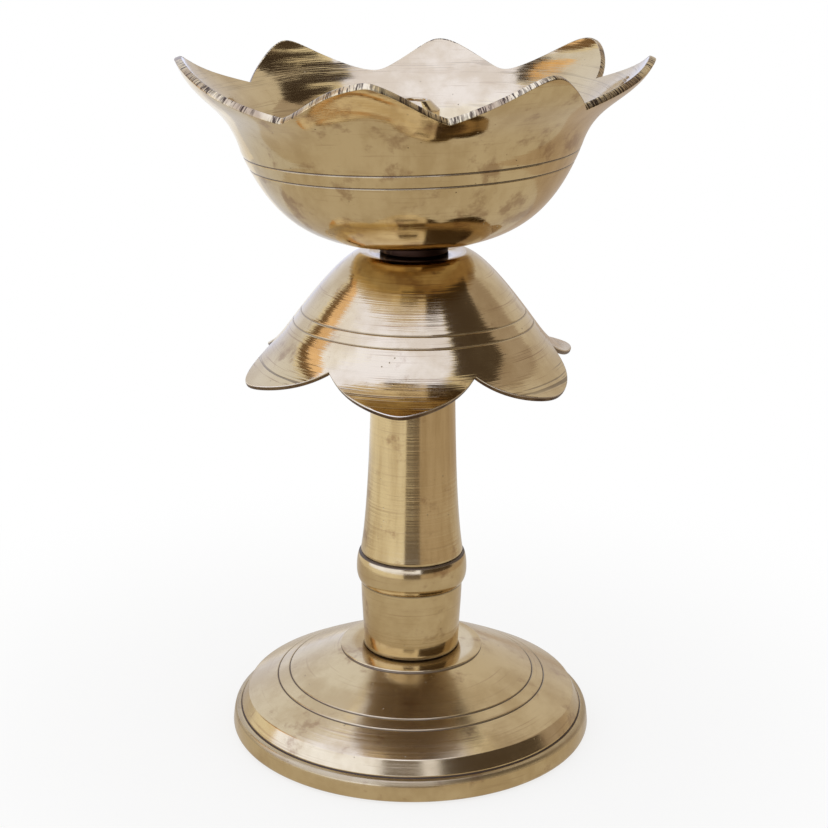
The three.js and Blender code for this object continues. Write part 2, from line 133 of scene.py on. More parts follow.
class Recipe:
    """The nodes of one material or world while it is written, with short calls for them."""

    def __init__(self, name: str, library: str = "materials") -> None:
        """Starts with no nodes.

        Args:
            name: Name of the material or world.
            library: Which of Blender's lists it goes into.
        """
        self.owner = getattr(bpy.data, library).new(name)
        self.owner.use_nodes = True
        self.tree = self.owner.node_tree
        self.tree.nodes.clear()

    @cached_property
    def point(self) -> bpy.types.NodeSocket:
        """The piece's own coordinates."""
        return self.node("ShaderNodeTexCoord", {}).outputs["Object"]

    @cached_property
    def axes(self) -> tuple[Value, ...]:
        """The three numbers of the piece's own coordinates."""
        return self.split(self.point)

    @cached_property
    def radius(self) -> Value:
        """Distance from the piece's Z axis."""
        x, y, _ = self.axes
        return (x * x + y * y) ** 0.5

    def feed(self, socket: bpy.types.NodeSocket, value: object) -> None:
        """Links or sets one input socket; None leaves it as it is."""
        if isinstance(value, Value):
            value = value.socket
        if isinstance(value, bpy.types.NodeSocket):
            self.tree.links.new(value, socket)
        elif isinstance(value, tuple) and socket.type == "RGBA":
            socket.default_value = (*value, 1.0)
        elif value is not None:
            socket.default_value = value

    def node(self, kind: str, settings: dict, *inputs: object, **named: object) -> bpy.types.Node:
        """Adds a node.

        Args:
            kind: The node's type.
            settings: Attributes that are set before its sockets are fed.
            inputs: What feeds its first sockets, in order.
            named: What feeds other sockets, with underscores for the spaces in their names.

        Returns:
            The new node.
        """
        node = self.tree.nodes.new(kind)
        for key, value in settings.items():
            setattr(node, key, value)
        for socket, value in zip(node.inputs, inputs):
            self.feed(socket, value)
        for key, value in named.items():
            self.feed(node.inputs[key.replace("_", " ")], value)
        return node

    def attribute(self, name: str) -> Value:
        """A number that each vertex carries."""
        node = self.node("ShaderNodeAttribute", {"attribute_name": name})
        return Value(self, node.outputs["Fac"])

    def split(self, vector: bpy.types.NodeSocket) -> tuple[Value, ...]:
        """The three numbers of a vector."""
        parts = self.node("ShaderNodeSeparateXYZ", {}, vector)
        return tuple(Value(self, socket) for socket in parts.outputs)

    def vector(self, x: Value | float, y: Value | float, z: Value | float) -> bpy.types.NodeSocket:
        """A vector of three numbers."""
        return self.node("ShaderNodeCombineXYZ", {}, x, y, z).outputs[0]

    def noise(
        self,
        vector: bpy.types.NodeSocket,
        scale: float,
        detail: float = 2.0,
        roughness: float = 0.5,
        fourth: Value | None = None,
    ) -> Value:
        """Smooth noise about 0.5.

        Args:
            vector: Where it is read.
            scale: Cells per unit of the vector.
            detail: Octaves above the first.
            roughness: How strong each octave is beside the last.
            fourth: A fourth coordinate.

        Returns:
            The noise.
        """
        settings = {"noise_dimensions": "4D" if fourth else "3D"}
        sockets = {"Vector": vector, "Scale": scale, "Detail": detail, "Roughness": roughness}
        if fourth:
            sockets["W"] = fourth
        node = self.node("ShaderNodeTexNoise", settings, **sockets)
        return Value(self, node.outputs["Fac"])

    def rings(self, pitch: float, drift: float, detail: float = 2.0, roughness: float = 0.5) -> Value:
        """Lines round the axis, as a lathe leaves them: noise that runs fast over (r, z) and
        slowly over (x, y).

        Args:
            pitch: Millimetres between lines.
            drift: Millimetres round the piece over which a line fades.
            detail: Octaves above the first.
            roughness: How strong each octave is beside the last.

        Returns:
            The noise.
        """
        fast = 1.0 / (pitch * MM)
        slow = 1.0 / (drift * MM)
        x, y, z = self.axes
        where = self.vector(self.radius * fast, z * fast, x * slow)
        return self.noise(where, 1.0, detail, roughness, y * slow)

    def cells(self, scale: float) -> Value:
        """Distance to the nearest of scattered points, in cell widths."""
        node = self.node("ShaderNodeTexVoronoi", {}, Vector=self.point, Scale=scale)
        return Value(self, node.outputs["Distance"])

    def blend(
        self,
        share: Value | float,
        first: Colour | bpy.types.NodeSocket,
        second: Colour | bpy.types.NodeSocket,
    ) -> bpy.types.NodeSocket:
        """The first colour where the share is 0, the second where it is 1."""
        node = self.node("ShaderNodeMix", {"data_type": "RGBA", "clamp_factor": True})
        for place, value in ((0, share), (6, first), (7, second)):
            self.feed(node.inputs[place], value)
        return node.outputs[2]

    def metal(
        self,
        colour: bpy.types.NodeSocket,
        roughness: Value | float,
        height: Value,
        metallic: Value | float = 1.0,
    ) -> bpy.types.Material:
        """Ends the material as a metal with a relief.

        Args:
            colour: Base colour.
            roughness: Roughness.
            height: Relief in metres.
            metallic: 1, or lower where dirt and painted shade cover the metal.

        Returns:
            The finished material.
        """
        relief = self.node("ShaderNodeBump", {}, Strength=1.0, Distance=1.0, Height=height)
        shader = self.node("ShaderNodeBsdfPrincipled", {}, Base_Color=colour, Metallic=metallic)
        self.feed(shader.inputs["Roughness"], roughness)
        self.feed(shader.inputs["Normal"], relief.outputs[0])
        self.node("ShaderNodeOutputMaterial", {}, shader.outputs[0])
        return self.owner


@dataclass(frozen=True)
class TurnedBrass:
    """Brass turned on a lathe and rubbed by hand: fine rings, stains, pits, dirty grooves and painted
    shade in creases and seams.

    Pitches and depths are in millimetres. The scales of clouds, blots and pits are in cells a
    metre; `upright_scales` are those of clouds drawn out along the axis, across and up. Scores
    are bundles of deeper rings, from the radius `score_from_r` outwards.
    """

    name: str
    light: Colour = (0.64, 0.49, 0.255)
    deep: Colour = (0.53, 0.385, 0.185)
    stain: Colour = (0.33, 0.20, 0.095)
    # grime is the colour of dirt in pits, scores and grooves, and also of the painted shade in creases,
    # seams and the cove.
    grime: Colour = (0.06, 0.033, 0.018)
    roughness: float = 0.10
    roughness_spread: float = 0.16
    line_pitch: float = 0.42
    line_depth: float = 0.010
    wave_pitch: float = 2.2
    wave_depth: float = 0.022
    hand_pitch: float = 9.0
    hand_depth: float = 0.05
    streak: float = 0.3
    cloud_scale: float = 95.0
    upright: float = 0.0
    upright_scales: Point = (420.0, 40.0)
    blot_scale: float = 170.0
    stain_from: float = 0.56
    pit_scale: float = 900.0
    pit_patch_scale: float = 240.0
    pit_share: float = 0.09
    pit_depth: float = 0.03
    score: float = 0.0
    score_from_r: float = 0.0
    score_bundle: float = 2.0
    score_depth: float = 0.04

    def material(self) -> bpy.types.Material:
        """The finish as a node material."""
        r = Recipe(self.name)
        dirt_and_shade_mask = r.attribute("dirt_and_shade_mask")
        lines = r.rings(self.line_pitch, 20.0, 2.0, 0.62)
        waves = r.rings(self.wave_pitch, 40.0, 1.0, 0.5)
        hand = r.noise(r.point, 1.0 / (self.hand_pitch * MM), 2.0, 0.45)
        cloud = r.noise(r.point, self.cloud_scale, 4.0, 0.62)
        if self.upright:
            x, y, z = r.axes
            wide, high = self.upright_scales
            tall = r.noise(r.vector(x * wide, y * wide, z * high), 1.0, 3.0, 0.6)
            cloud = cloud * (1.0 - self.upright) + tall * self.upright
        blot = r.noise(r.point, self.blot_scale, 5.0, 0.66)
        patches = r.noise(r.point, self.pit_patch_scale, 2.0, 0.5).between(0.60, 0.70)
        pits = r.cells(self.pit_scale).between(self.pit_share * 1.6, self.pit_share * 0.5) * patches
        bundles = r.rings(self.score_bundle, 60.0, 1.0).between(0.46, 0.56)
        rim = r.radius.between(self.score_from_r * MM, (self.score_from_r + 3.0) * MM)
        scores = r.rings(self.line_pitch * 0.8, 45.0, 1.0).between(0.52, 0.62) * bundles * rim

        colour = r.blend(cloud.between(0.38, 0.64), self.light, self.deep)
        stained = blot.between(self.stain_from, self.stain_from + 0.15)
        colour = r.blend(stained * 0.7, colour, self.stain)
        colour = r.blend(lines.between(0.58, 0.74) * self.streak, colour, self.stain)
        colour = r.blend(scores * self.score, colour, self.grime)
        colour = r.blend(pits * 0.85, colour, self.grime)
        # Dirt and painted shade: the marked rows go towards grime, with dirt in the grooves and painted
        # shade in creases, seams and the cove.
        colour = r.blend(dirt_and_shade_mask, colour, self.grime)

        spread = (lines + cloud - 1.0) * self.roughness_spread
        roughness = (spread + pits * 0.3 + dirt_and_shade_mask * 0.35 + self.roughness).at_least(0.04)
        height = lines * (self.line_depth * MM) + waves * (self.wave_depth * MM)
        height = height + hand * (self.hand_depth * MM) - pits * (self.pit_depth * MM)
        height = height - scores * (self.score * self.score_depth * MM)
        return r.metal(colour, roughness, height, 1.0 - dirt_and_shade_mask * 0.7)


@dataclass(frozen=True)
class FiledEdge:
    """The sawn rim of a petal, with file strokes across a narrow band.

    The attribute rim holds, in millimetres, the place along the rim as a point of a circle of
    the rim's length, and the place across it. Between the two values of `arris` across the rim,
    a burr starts that shines like the brightest metal. Patches and gaps between strokes are in
    cells a millimetre.
    """

    name: str
    bright: Colour = (0.70, 0.54, 0.27)
    dull: Colour = (0.42, 0.29, 0.14)
    dark: Colour = (0.05, 0.028, 0.016)
    burr: Colour = (0.72, 0.60, 0.40)
    stroke_pitch: float = 0.33
    stroke_depth: float = 0.025
    stroke_share: float = 0.95
    gap_scale: float = 0.35
    patch_scale: float = 0.18
    roughness: float = 0.22
    arris: Point = (1.2, 1.3)

    def material(self) -> bpy.types.Material:
        """The finish as a node material."""
        r = Recipe(self.name)
        rim = r.node("ShaderNodeAttribute", {"attribute_name": "rim"}).outputs["Vector"]
        u, v, across = r.split(rim)
        fine, patch, gap = 1.0 / self.stroke_pitch, self.patch_scale, self.gap_scale
        strokes = r.noise(r.vector(u * fine, v * fine, across * 0.35), 1.0, 3.0, 0.65)
        patches = r.noise(r.vector(u * patch, v * patch, across * 0.1), 1.0, 3.0, 0.6)
        filed = r.noise(r.vector(u * gap, v * gap, across * 0.2), 1.0, 1.0, 0.5).between(0.30, 0.55)
        colour = r.blend(patches.between(0.40, 0.60), self.bright, self.dull)
        colour = r.blend(strokes.between(0.46, 0.57) * filed * self.stroke_share, colour, self.dark)
        colour = r.blend(across.between(*self.arris), colour, self.burr)
        roughness = strokes * 0.25 + self.roughness
        return r.metal(colour, roughness, strokes * (self.stroke_depth * MM))


@dataclass(frozen=True)
class RoughCast:
    """The inside of a casting that is only skimmed: dull, mottled and dark in its hollows."""

    name: str
    light: Colour = (0.52, 0.43, 0.34)
    deep: Colour = (0.38, 0.30, 0.23)
    grime: Colour = (0.12, 0.085, 0.06)
    roughness: float = 0.5
    cloud_scale: float = 130.0
    grain_scale: float = 1500.0
    grain_depth: float = 0.025
    mark_depth: float = 0.03
    metallic: float = 0.4

    def material(self) -> bpy.types.Material:
        """The finish as a node material."""
        r = Recipe(self.name)
        cloud = r.noise(r.point, self.cloud_scale, 5.0, 0.65)
        grain = r.noise(r.point, self.grain_scale, 3.0, 0.6)
        marks = r.rings(0.8, 30.0, 3.0, 0.6)
        colour = r.blend(cloud.between(0.35, 0.68), self.light, self.deep)
        colour = r.blend(grain.between(0.60, 0.80) * 0.6, colour, self.grime)
        colour = r.blend(marks.between(0.56, 0.74) * 0.5, colour, self.deep)
        roughness = cloud * 0.2 + (self.roughness - 0.1)
        height = grain * (self.grain_depth * MM) + marks * (self.mark_depth * MM)
        return r.metal(colour, roughness, height, self.metallic)


@dataclass(frozen=True)
class ScrewSteel:
    """Plain steel of a cheap screw, with scratches round it and rust in its hollows."""

    name: str
    light: Colour = (0.42, 0.41, 0.39)
    deep: Colour = (0.25, 0.24, 0.23)
    rust: Colour = (0.16, 0.075, 0.03)
    cloud_scale: float = 260.0
    roughness: float = 0.34
    scratch_depth: float = 0.004

    def material(self) -> bpy.types.Material:
        """The finish as a node material."""
        r = Recipe(self.name)
        dirt_and_shade_mask = r.attribute("dirt_and_shade_mask")
        scratches = r.rings(0.25, 8.0, 3.0, 0.6)
        cloud = r.noise(r.point, self.cloud_scale, 4.0, 0.6)
        colour = r.blend(scratches.between(0.4, 0.7), self.light, self.deep)
        colour = r.blend(cloud.between(0.58, 0.74) * 0.7, colour, self.rust)
        colour = r.blend(dirt_and_shade_mask * 0.8, colour, self.rust)
        roughness = scratches * 0.2 + self.roughness
        return r.metal(colour, roughness, scratches * (self.scratch_depth * MM))


Finish = TurnedBrass | FiledEdge | RoughCast | ScrewSteel


class Outline:
    """A smooth line in (r, z), read at t from 0 to 1."""

    def at(self, t: np.ndarray) -> np.ndarray:
        """Points (r, z) at t, on a new last axis."""
        raise NotImplementedError

    def slope(self, t: np.ndarray) -> np.ndarray:
        """Directions at t, of any length."""
        raise NotImplementedError

    def along(self, t: np.ndarray) -> np.ndarray:
        """Unit directions at t."""
        slope = self.slope(t)
        return slope / np.linalg.norm(slope, axis=-1, keepdims=True)

    def lifted(self, t: np.ndarray, lift: float | np.ndarray) -> np.ndarray:
        """Points at t, moved off the outline to the left of its direction."""
        along = self.along(t)
        left = np.stack([-along[..., 1], along[..., 0]], axis=-1)
        return self.at(t) + left * np.asarray(lift)[..., None]

    def distance(self, t: np.ndarray) -> np.ndarray:
        """Length of the outline from its start to t."""
        fine = np.linspace(0.0, 1.0, 400)
        steps = np.linalg.norm(np.diff(self.at(fine), axis=0), axis=1)
        return np.interp(t, fine, np.concatenate([[0.0], np.cumsum(steps)]))

    def reach(self, axis: int, value: float) -> float:
        """The t at which r (axis 0) or z (axis 1) takes a value."""
        fine = np.linspace(0.0, 1.0, 2000)
        line = self.at(fine)[:, axis]
        order = np.argsort(line)
        return float(np.interp(value, line[order], fine[order]))


@dataclass(frozen=True)
class Bend(Outline):
    """A cubic outline, B(t) = the sum of its four knots times the Bernstein terms at t.

    `leave` and `arrive` place the inner knots, as shares of the run in r and of the rise in z,
    from the start and back from the end.
    """

    start: Point
    end: Point
    leave: Point
    arrive: Point

    @property
    def knots(self) -> np.ndarray:
        """The four knots, one row each."""
        start = np.array(self.start)
        end = np.array(self.end)
        span = end - start
        return np.array([start, start + span * self.leave, end - span * self.arrive, end])

    def at(self, t: np.ndarray) -> np.ndarray:
        """Points (r, z) at t, on a new last axis."""
        t = np.asarray(t, float)[..., None]
        a, b, c, d = self.knots
        s = 1.0 - t
        return s**3 * a + 3 * s**2 * t * b + 3 * s * t**2 * c + t**3 * d

    def slope(self, t: np.ndarray) -> np.ndarray:
        """A third of the derivative at t."""
        t = np.asarray(t, float)[..., None]
        a, b, c, d = self.knots
        s = 1.0 - t
        return s**2 * (b - a) + 2 * s * t * (c - b) + t**2 * (d - c)


@dataclass(frozen=True)
class PetalFlare(Outline):
    """A flare whose petals lean towards outlines of their own.

    At each column it is C(t) + the sum over the petals of crown * (own(t) - C(t)), with C the
    common outline. The crowns have the shape (petals, columns).
    """

    common: Bend
    own: Sequence[Bend]
    crowns: np.ndarray

    def mixed(self, common: np.ndarray, own: Sequence[np.ndarray]) -> np.ndarray:
        """The common values drawn towards those of each petal."""
        return common + sum(c[:, None] * (v - common) for c, v in zip(self.crowns, own))

    def at(self, t: np.ndarray) -> np.ndarray:
        """Points (r, z) at t, on a new last axis."""
        return self.mixed(self.common.at(t), [bend.at(t) for bend in self.own])

    def slope(self, t: np.ndarray) -> np.ndarray:
        """Directions at t."""
        return self.mixed(self.common.slope(t), [bend.slope(t) for bend in self.own])


@dataclass(frozen=True)
class Rows:
    """A stretch of an outline.

    `points` has the shape (rows, columns or 1, 2) and `dirt_and_shade` says how dark each row is, 0 to 1:
    dirt in grooves and threads, painted shade in creases, seams and the cove.
    """

    points: np.ndarray
    dirt_and_shade: np.ndarray
    face: Face = Face.OUTSIDE

    def reversed(self) -> "Rows":
        """The same stretch, walked the other way."""
        return Rows(self.points[::-1], self.dirt_and_shade[::-1], self.face)


def plain(points: np.ndarray | Sequence[Point], face: Face = Face.OUTSIDE, dirt_and_shade: float = 0.0) -> Rows:
    """Rows that are the same all the way round.

    Args:
        points: Points (r, z).
        face: Their finish.
        dirt_and_shade: How dark they are, with dirt in grooves and painted shade in creases and seams.

    Returns:
        The rows.
    """
    array = np.asarray(points, float)
    return Rows(array[:, None, :], np.full(len(array), dirt_and_shade), face)


def softened(points: Sequence[Point], radius: float, count: int = 5) -> np.ndarray:
    """A polyline whose corners are rounded, each by the parabola that touches both its sides.

    Args:
        points: Corners (r, z); the first and last stay as they are.
        radius: How far from a corner the rounding starts, at most 0.45 of a side.
        count: Points on each rounding.

    Returns:
        The rounded polyline.
    """
    corners = np.asarray(points, float)
    before, corner, after = corners[:-2], corners[1:-1], corners[2:]
    to_before = before - corner
    to_after = after - corner
    side_before = np.linalg.norm(to_before, axis=1, keepdims=True)
    side_after = np.linalg.norm(to_after, axis=1, keepdims=True)
    reach = np.minimum(radius, 0.45 * np.minimum(side_before, side_after))
    first = (corner + to_before / side_before * reach)[:, None, :]
    last = (corner + to_after / side_after * reach)[:, None, :]
    t = np.linspace(0.0, 1.0, count)[None, :, None]
    rounded = (1 - t) ** 2 * first + 2 * t * (1 - t) * corner[:, None, :] + t**2 * last
    return np.concatenate([corners[:1], rounded.reshape(-1, 2), corners[-1:]])


@dataclass(frozen=True)
class Groove:
    """A round-bottomed groove turned with a pointed tool.

    At a distance d from its middle it sinks by depth * exp(-(d / (0.3 width))^2).
    """

    width: float = 0.42
    depth: float = 0.16
    dirt_and_shade: float = 1.0

    def cut(self, bend: Bend, count: int, middles: Sequence[float], inward: float) -> Rows:
        """Rows along a bend with grooves in it, crowded round each groove to draw it.

        Args:
            bend: The outline.
            count: Rows besides the ones round the grooves.
            middles: t of each groove.
            inward: 1 if the metal lies to the left of the outline, -1 if to the right.

        Returns:
            The rows.
        """
        length = float(bend.distance(np.array([1.0]))[0])
        near = np.linspace(-0.9, 0.9, 15) * self.width / length
        t = np.concatenate([np.linspace(0.0, 1.0, count), *(middle + near for middle in middles)])
        t = np.unique(np.clip(np.round(t, 6), 0.0, 1.0))
        d = bend.distance(t)[:, None] - bend.distance(np.array(middles))[None, :]
        dip = np.exp(-((d / (0.3 * self.width)) ** 2)).sum(axis=1)
        points = bend.lifted(t, inward * self.depth * dip)
        return Rows(points[:, None, :], np.clip(self.dirt_and_shade * dip, 0.0, 1.0))


@dataclass(frozen=True)
class Petal:
    """One petal of a sawn lip.

    It has the azimuths of its tip and of the valley after it, how round the two are, how far
    its tip is shifted outwards and up from the common one, and whether it is bent outwards.
    """

    tip: float
    valley: float
    roundness: float
    shift: Point = (0.0, 0.0)
    valley_roundness: float = 0.0
    bent: bool = False


def rounded_rise(x: np.ndarray, roundness: np.ndarray) -> np.ndarray:
    """f(x) / f(1) with f(x) = hypot(x, roundness) - roundness: level at first, then straight."""
    return (np.hypot(x, roundness) - roundness) / (np.hypot(1.0, roundness) - roundness)


class PetalledLip:
    """A flared lip sawn into petals.

    With x the share of the way from a valley to the tip, a petal stands there with the share
    1 - rise(1 - rise(x, valley roundness), tip roundness) of its length. Its crown, which draws
    the flare towards its own outline, is sin(pi * way across the petal)^2.
    """

    def __init__(
        self,
        common: Bend,
        bent: Bend,
        petals: Sequence[Petal],
        valley_t: float,
        walls: tuple[float, float],
        columns: int = 360,
        worn: float = 0.12,
        trim: float = 0.999,
    ) -> None:
        """Works out the flare and the length of the lip at each column.

        Args:
            common: Outline of the flare, out to the common tip.
            bent: The same of a petal that is bent outwards.
            petals: The petals in order of their azimuths.
            valley_t: t of the valleys on the common outline.
            walls: Wall at the foot of the lip and at its sawn edge, negative if the metal lies
                to the right of the outline.
            columns: Columns all the way round.
            worn: How far the corners of the sawn edge are worn down.
            trim: Share of its length that a petal keeps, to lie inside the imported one.
        """
        self.columns = columns
        self.walls = walls
        self.worn = worn
        azimuths = np.arange(columns) * 360.0 / columns
        tips, valleys, tip_round, valley_round = np.array(
            [(petal.tip, petal.valley, petal.roundness, petal.valley_roundness) for petal in petals]
        ).T
        index = ((valleys[None, :] - azimuths[:, None]) % 360.0).argmin(axis=1)
        start = valleys[index - 1]
        width = (valleys[index] - start) % 360.0
        across = (azimuths - start) % 360.0 / width
        tip_across = (tips[index] - start) % 360.0 / width
        past_tip = across > tip_across
        from_valley = np.where(past_tip, (1.0 - across) / (1.0 - tip_across), across / tip_across)
        rounding = np.where(past_tip, valley_round[index], valley_round[index - 1])
        to_tip = 1.0 - rounded_rise(from_valley, rounding)
        share = 1.0 - rounded_rise(to_tip, tip_round[index])
        self.keep = trim * (valley_t + (1.0 - valley_t) * share)
        crowns = np.zeros((len(petals), columns))
        crowns[index, np.arange(columns)] = np.sin(math.pi * across) ** 2
        own = []
        for petal in petals:
            shape = bent if petal.bent else common
            end = (common.end[0] + petal.shift[0], common.end[1] + petal.shift[1])
            own.append(Bend(common.start, end, shape.leave, shape.arrive))
        self.flare = PetalFlare(common, own, crowns)

    def side(self, steps: np.ndarray, face: Face, inner: bool = False) -> Rows:
        """One side of the lip.

        Args:
            steps: Shares of the way to the sawn edge.
            face: Its finish.
            inner: Whether it is the side that lies a wall away from the outline.

        Returns:
            The rows.
        """
        foot, edge = self.walls if inner else (0.0, 0.0)
        lift = foot + (edge - foot) * steps
        points = self.flare.lifted(steps[:, None] * self.keep[None, :], lift[:, None])
        return Rows(points, np.zeros(len(steps)), face)

    def edge(self, count: int = 11) -> Rows:
        """The sawn edge, from the outline to the other side, its corners worn round."""
        s = (1.0 - np.cos(np.linspace(0.0, math.pi, count))) / 2.0
        start = self.flare.lifted(self.keep, 0.0)[None]
        end = self.flare.lifted(self.keep, self.walls[1])[None]
        across = start + (end - start) * s[:, None, None]
        wear = self.worn * np.abs(2.0 * s - 1.0) ** 5
        points = across - self.flare.along(self.keep)[None] * wear[:, None, None]
        return Rows(points, np.zeros(count), Face.SAWN)


def turns(count: int) -> np.ndarray:
    """Angles of equal steps round a circle, in radians."""
    return np.arange(count) * 2.0 * math.pi / count


def foot_of(node: str) -> float:
    """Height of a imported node's lowest point, in millimetres."""
    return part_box(node)[0].z / MM


def top_of(node: str) -> float:
    """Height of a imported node's highest point, in millimetres."""
    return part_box(node)[1].z / MM


@dataclass
class TurnedPiece:
    """A closed surface carried round the Z axis: the point (r, z) of a row at the azimuth a goes
    to (r sin a, -r cos a, z).

    Its finishes are in the order of the kinds of face. Its z = 0 goes to foot_z, or else to the
    lowest point of its node.
    """

    node: str
    slot: Slot
    rows: Sequence[Rows]
    finishes: Sequence[Finish]
    columns: int = 192
    foot_z: float | None = None
    lean: float = 0.0
    lean_from_r: float = 8.0
    lean_full_r: float = 14.0

    def grid(self) -> np.ndarray:
        """Points (r, z) of all rows at all columns."""
        shapes = [(len(part.points), self.columns, 2) for part in self.rows]
        parts = [np.broadcast_to(part.points, shape) for part, shape in zip(self.rows, shapes)]
        return np.concatenate(parts)

    def corners(self, outline: np.ndarray) -> tuple[np.ndarray, np.ndarray]:
        """Corner numbers of each quad, with rows at the axis joined to one vertex.

        Args:
            outline: Points (r, z) of all rows at all columns.

        Returns:
            The quads, and the row below each.
        """
        count = len(outline)
        number = np.arange(count * self.columns).reshape(count, self.columns)
        poles = (outline[..., 0] < 1e-6).all(axis=1)
        number[poles] = number[poles][:, :1]
        lower = np.arange(count - 1 if poles[0] else count)
        upper = (lower + 1) % count
        turned = np.roll(np.arange(self.columns), -1)
        quads = [number[lower], number[lower][:, turned], number[upper][:, turned], number[upper]]
        return np.stack(quads, axis=-1).reshape(-1, 4), np.repeat(lower, self.columns)

    def rim(self, spots: np.ndarray, face: np.ndarray) -> np.ndarray:
        """Where each vertex of a sawn edge lies along and across it, for the file strokes."""
        first = int(np.argmax(face == Face.SAWN.value))
        line = spots[first]
        steps = np.linalg.norm(np.roll(line, -1, axis=0) - line, axis=1)
        place = np.concatenate([[0.0], np.cumsum(steps)[:-1]])
        circle_r = steps.sum() / (2.0 * math.pi)
        angle = np.broadcast_to(place / circle_r, spots.shape[:2])
        across = np.linalg.norm(spots - line[None], axis=-1)
        return np.stack([circle_r * np.cos(angle), circle_r * np.sin(angle), across], axis=-1)

    def leaned(self, spots: np.ndarray) -> np.ndarray:
        """Turns the wide part of the piece about the Y axis, its right side up, by the angle
        lean * smoothstep(r) between the radii lean_from_r and lean_full_r."""
        x, y, z = spots[..., 0], spots[..., 1], spots[..., 2]
        reach = (np.hypot(x, y) - self.lean_from_r) / (self.lean_full_r - self.lean_from_r)
        share = np.clip(reach, 0.0, 1.0)
        angle = math.radians(self.lean) * share**2 * (3.0 - 2.0 * share)
        across = x * np.cos(angle) - z * np.sin(angle)
        up = x * np.sin(angle) + z * np.cos(angle)
        return np.stack([across, y, up], axis=-1)

    def build(self) -> bpy.types.Object:
        """Makes the piece, with its attributes and finishes, and puts it in its node's place.

        Returns:
            The object, at the origin, with its place in its mesh.
        """
        outline = self.grid()
        azimuth = np.radians(np.arange(self.columns) * 360.0 / self.columns)
        r, z = outline[..., 0], outline[..., 1]
        spots = self.leaned(np.stack([r * np.sin(azimuth), -r * np.cos(azimuth), z], axis=-1))
        spots = spots + [0.0, 0.0, foot_of(self.node) if self.foot_z is None else self.foot_z]
        dirt_and_shade = np.concatenate([part.dirt_and_shade for part in self.rows])
        face = np.concatenate([np.full(len(part.dirt_and_shade), part.face.value) for part in self.rows])
        quads, row = self.corners(outline)
        used, compact = np.unique(quads, return_inverse=True)
        quads = compact.reshape(-1, 4)
        differs = quads != np.roll(quads, -1, axis=1)

        mesh = bpy.data.meshes.new(self.node + "_finished")
        mesh.vertices.add(len(used))
        mesh.vertices.foreach_set("co", (spots.reshape(-1, 3)[used] * MM).ravel())
        mesh.loops.add(int(differs.sum()))
        mesh.loops.foreach_set("vertex_index", quads[differs])
        mesh.polygons.add(len(quads))
        totals = differs.sum(axis=1)
        mesh.polygons.foreach_set("loop_start", np.cumsum(totals) - totals)
        mesh.polygons.foreach_set("loop_total", totals)
        mesh.update(calc_edges=True)
        mesh.polygons.foreach_set("use_smooth", np.ones(len(quads), bool))

        shade = mesh.attributes.new("dirt_and_shade_mask", "FLOAT", "POINT")
        shade.data.foreach_set("value", np.repeat(dirt_and_shade, self.columns)[used])
        if (face == Face.SAWN.value).any():
            rim = mesh.attributes.new("rim", "FLOAT_VECTOR", "POINT")
            rim.data.foreach_set("vector", self.rim(spots, face).reshape(-1, 3)[used].ravel())
        for finish in self.finishes:
            mesh.materials.append(finish.material())
        mesh.polygons.foreach_set("material_index", face[row])

        piece = bpy.data.objects.new(mesh.name, mesh)
        bpy.context.scene.collection.objects.link(piece)
        self.seat(piece)
        return piece

    def seat(self, piece: bpy.types.Object) -> None:
        """Lets the piece stand for its node and ride on the node's body."""
        bodies = frame["record"]["behaviour"]["bodies"]
        body = next(name for name, members in bodies.items() if self.node in members)
        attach(piece, body)
        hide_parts(self.node)


def subtract(piece: bpy.types.Object, corners: np.ndarray, faces: Sequence[Sequence[int]]) -> None:
    """Cuts a convex tool out of a piece for good.

    Args:
        piece: What is cut.
        corners: The tool's corners in millimetres.
        faces: Its faces, as corner numbers.
    """
    mesh = bpy.data.meshes.new("tool")
    mesh.from_pydata((corners * MM).tolist(), [], [list(face) for face in faces])
    mesh.materials.append(piece.data.materials[0])
    tool = bpy.data.objects.new("tool", mesh)
    bpy.context.scene.collection.objects.link(tool)
    modifier = piece.modifiers.new("cut", "BOOLEAN")
    modifier.operation = "DIFFERENCE"
    modifier.solver = "EXACT"
    modifier.object = tool
    bpy.context.view_layer.objects.active = piece
    bpy.ops.object.modifier_apply(modifier=modifier.name)
    bpy.data.objects.remove(tool)


def thread(radius: float, pitch: float, low: float, high: float, columns: int, soft: float = 0.4) -> Rows:
    """Rows of a right-handed thread, with 10 rows to a pitch.

    The radius is root + (radius - root) * |cos(pi * (z / pitch - azimuth / turn))|^0.8, with the
    root 0.6 pitches further in, and it fades to the root over the last `soft` millimetres at
    both ends.

    Args:
        radius: Outer radius.
        pitch: Rise in one turn.
        low: Lower end.
        high: Upper end.
        columns: Columns round the rod.
        soft: Length of the fading ends.

    Returns:
        The rows.
    """
    z = np.linspace(low, high, int(10 * (high - low) / pitch))[:, None]
    share = np.arange(columns)[None, :] / columns
    root = radius - 0.6 * pitch
    crest = np.abs(np.cos(math.pi * (z / pitch - share))) ** 0.8
    ends = np.clip(np.minimum(z - low, high - z) / soft, 0.0, 1.0)
    r = root + (radius - root) * crest * ends
    points = np.stack([r, np.broadcast_to(z, r.shape)], axis=-1)
    return Rows(points, np.full(len(z), 0.15))


def threaded_rod(node: str, radius: float, pitch: float, columns: int, finish: Finish) -> bpy.types.Object:
    """A threaded rod as long as its node.

    Args:
        node: The node that it stands for.
        radius: Outer radius of the thread.
        pitch: Rise in one turn.
        columns: Columns round the rod.
        finish: Its finish.

    Returns:
        The rod.
    """
    length = top_of(node) - foot_of(node)
    end = 0.02
    body = thread(radius, pitch, end, length - end, columns)
    rows = [plain([(0.0, 0.0)]), body, plain([(0.0, length)])]
    return TurnedPiece(node, Slot.ROD, rows, (finish,), columns).build()


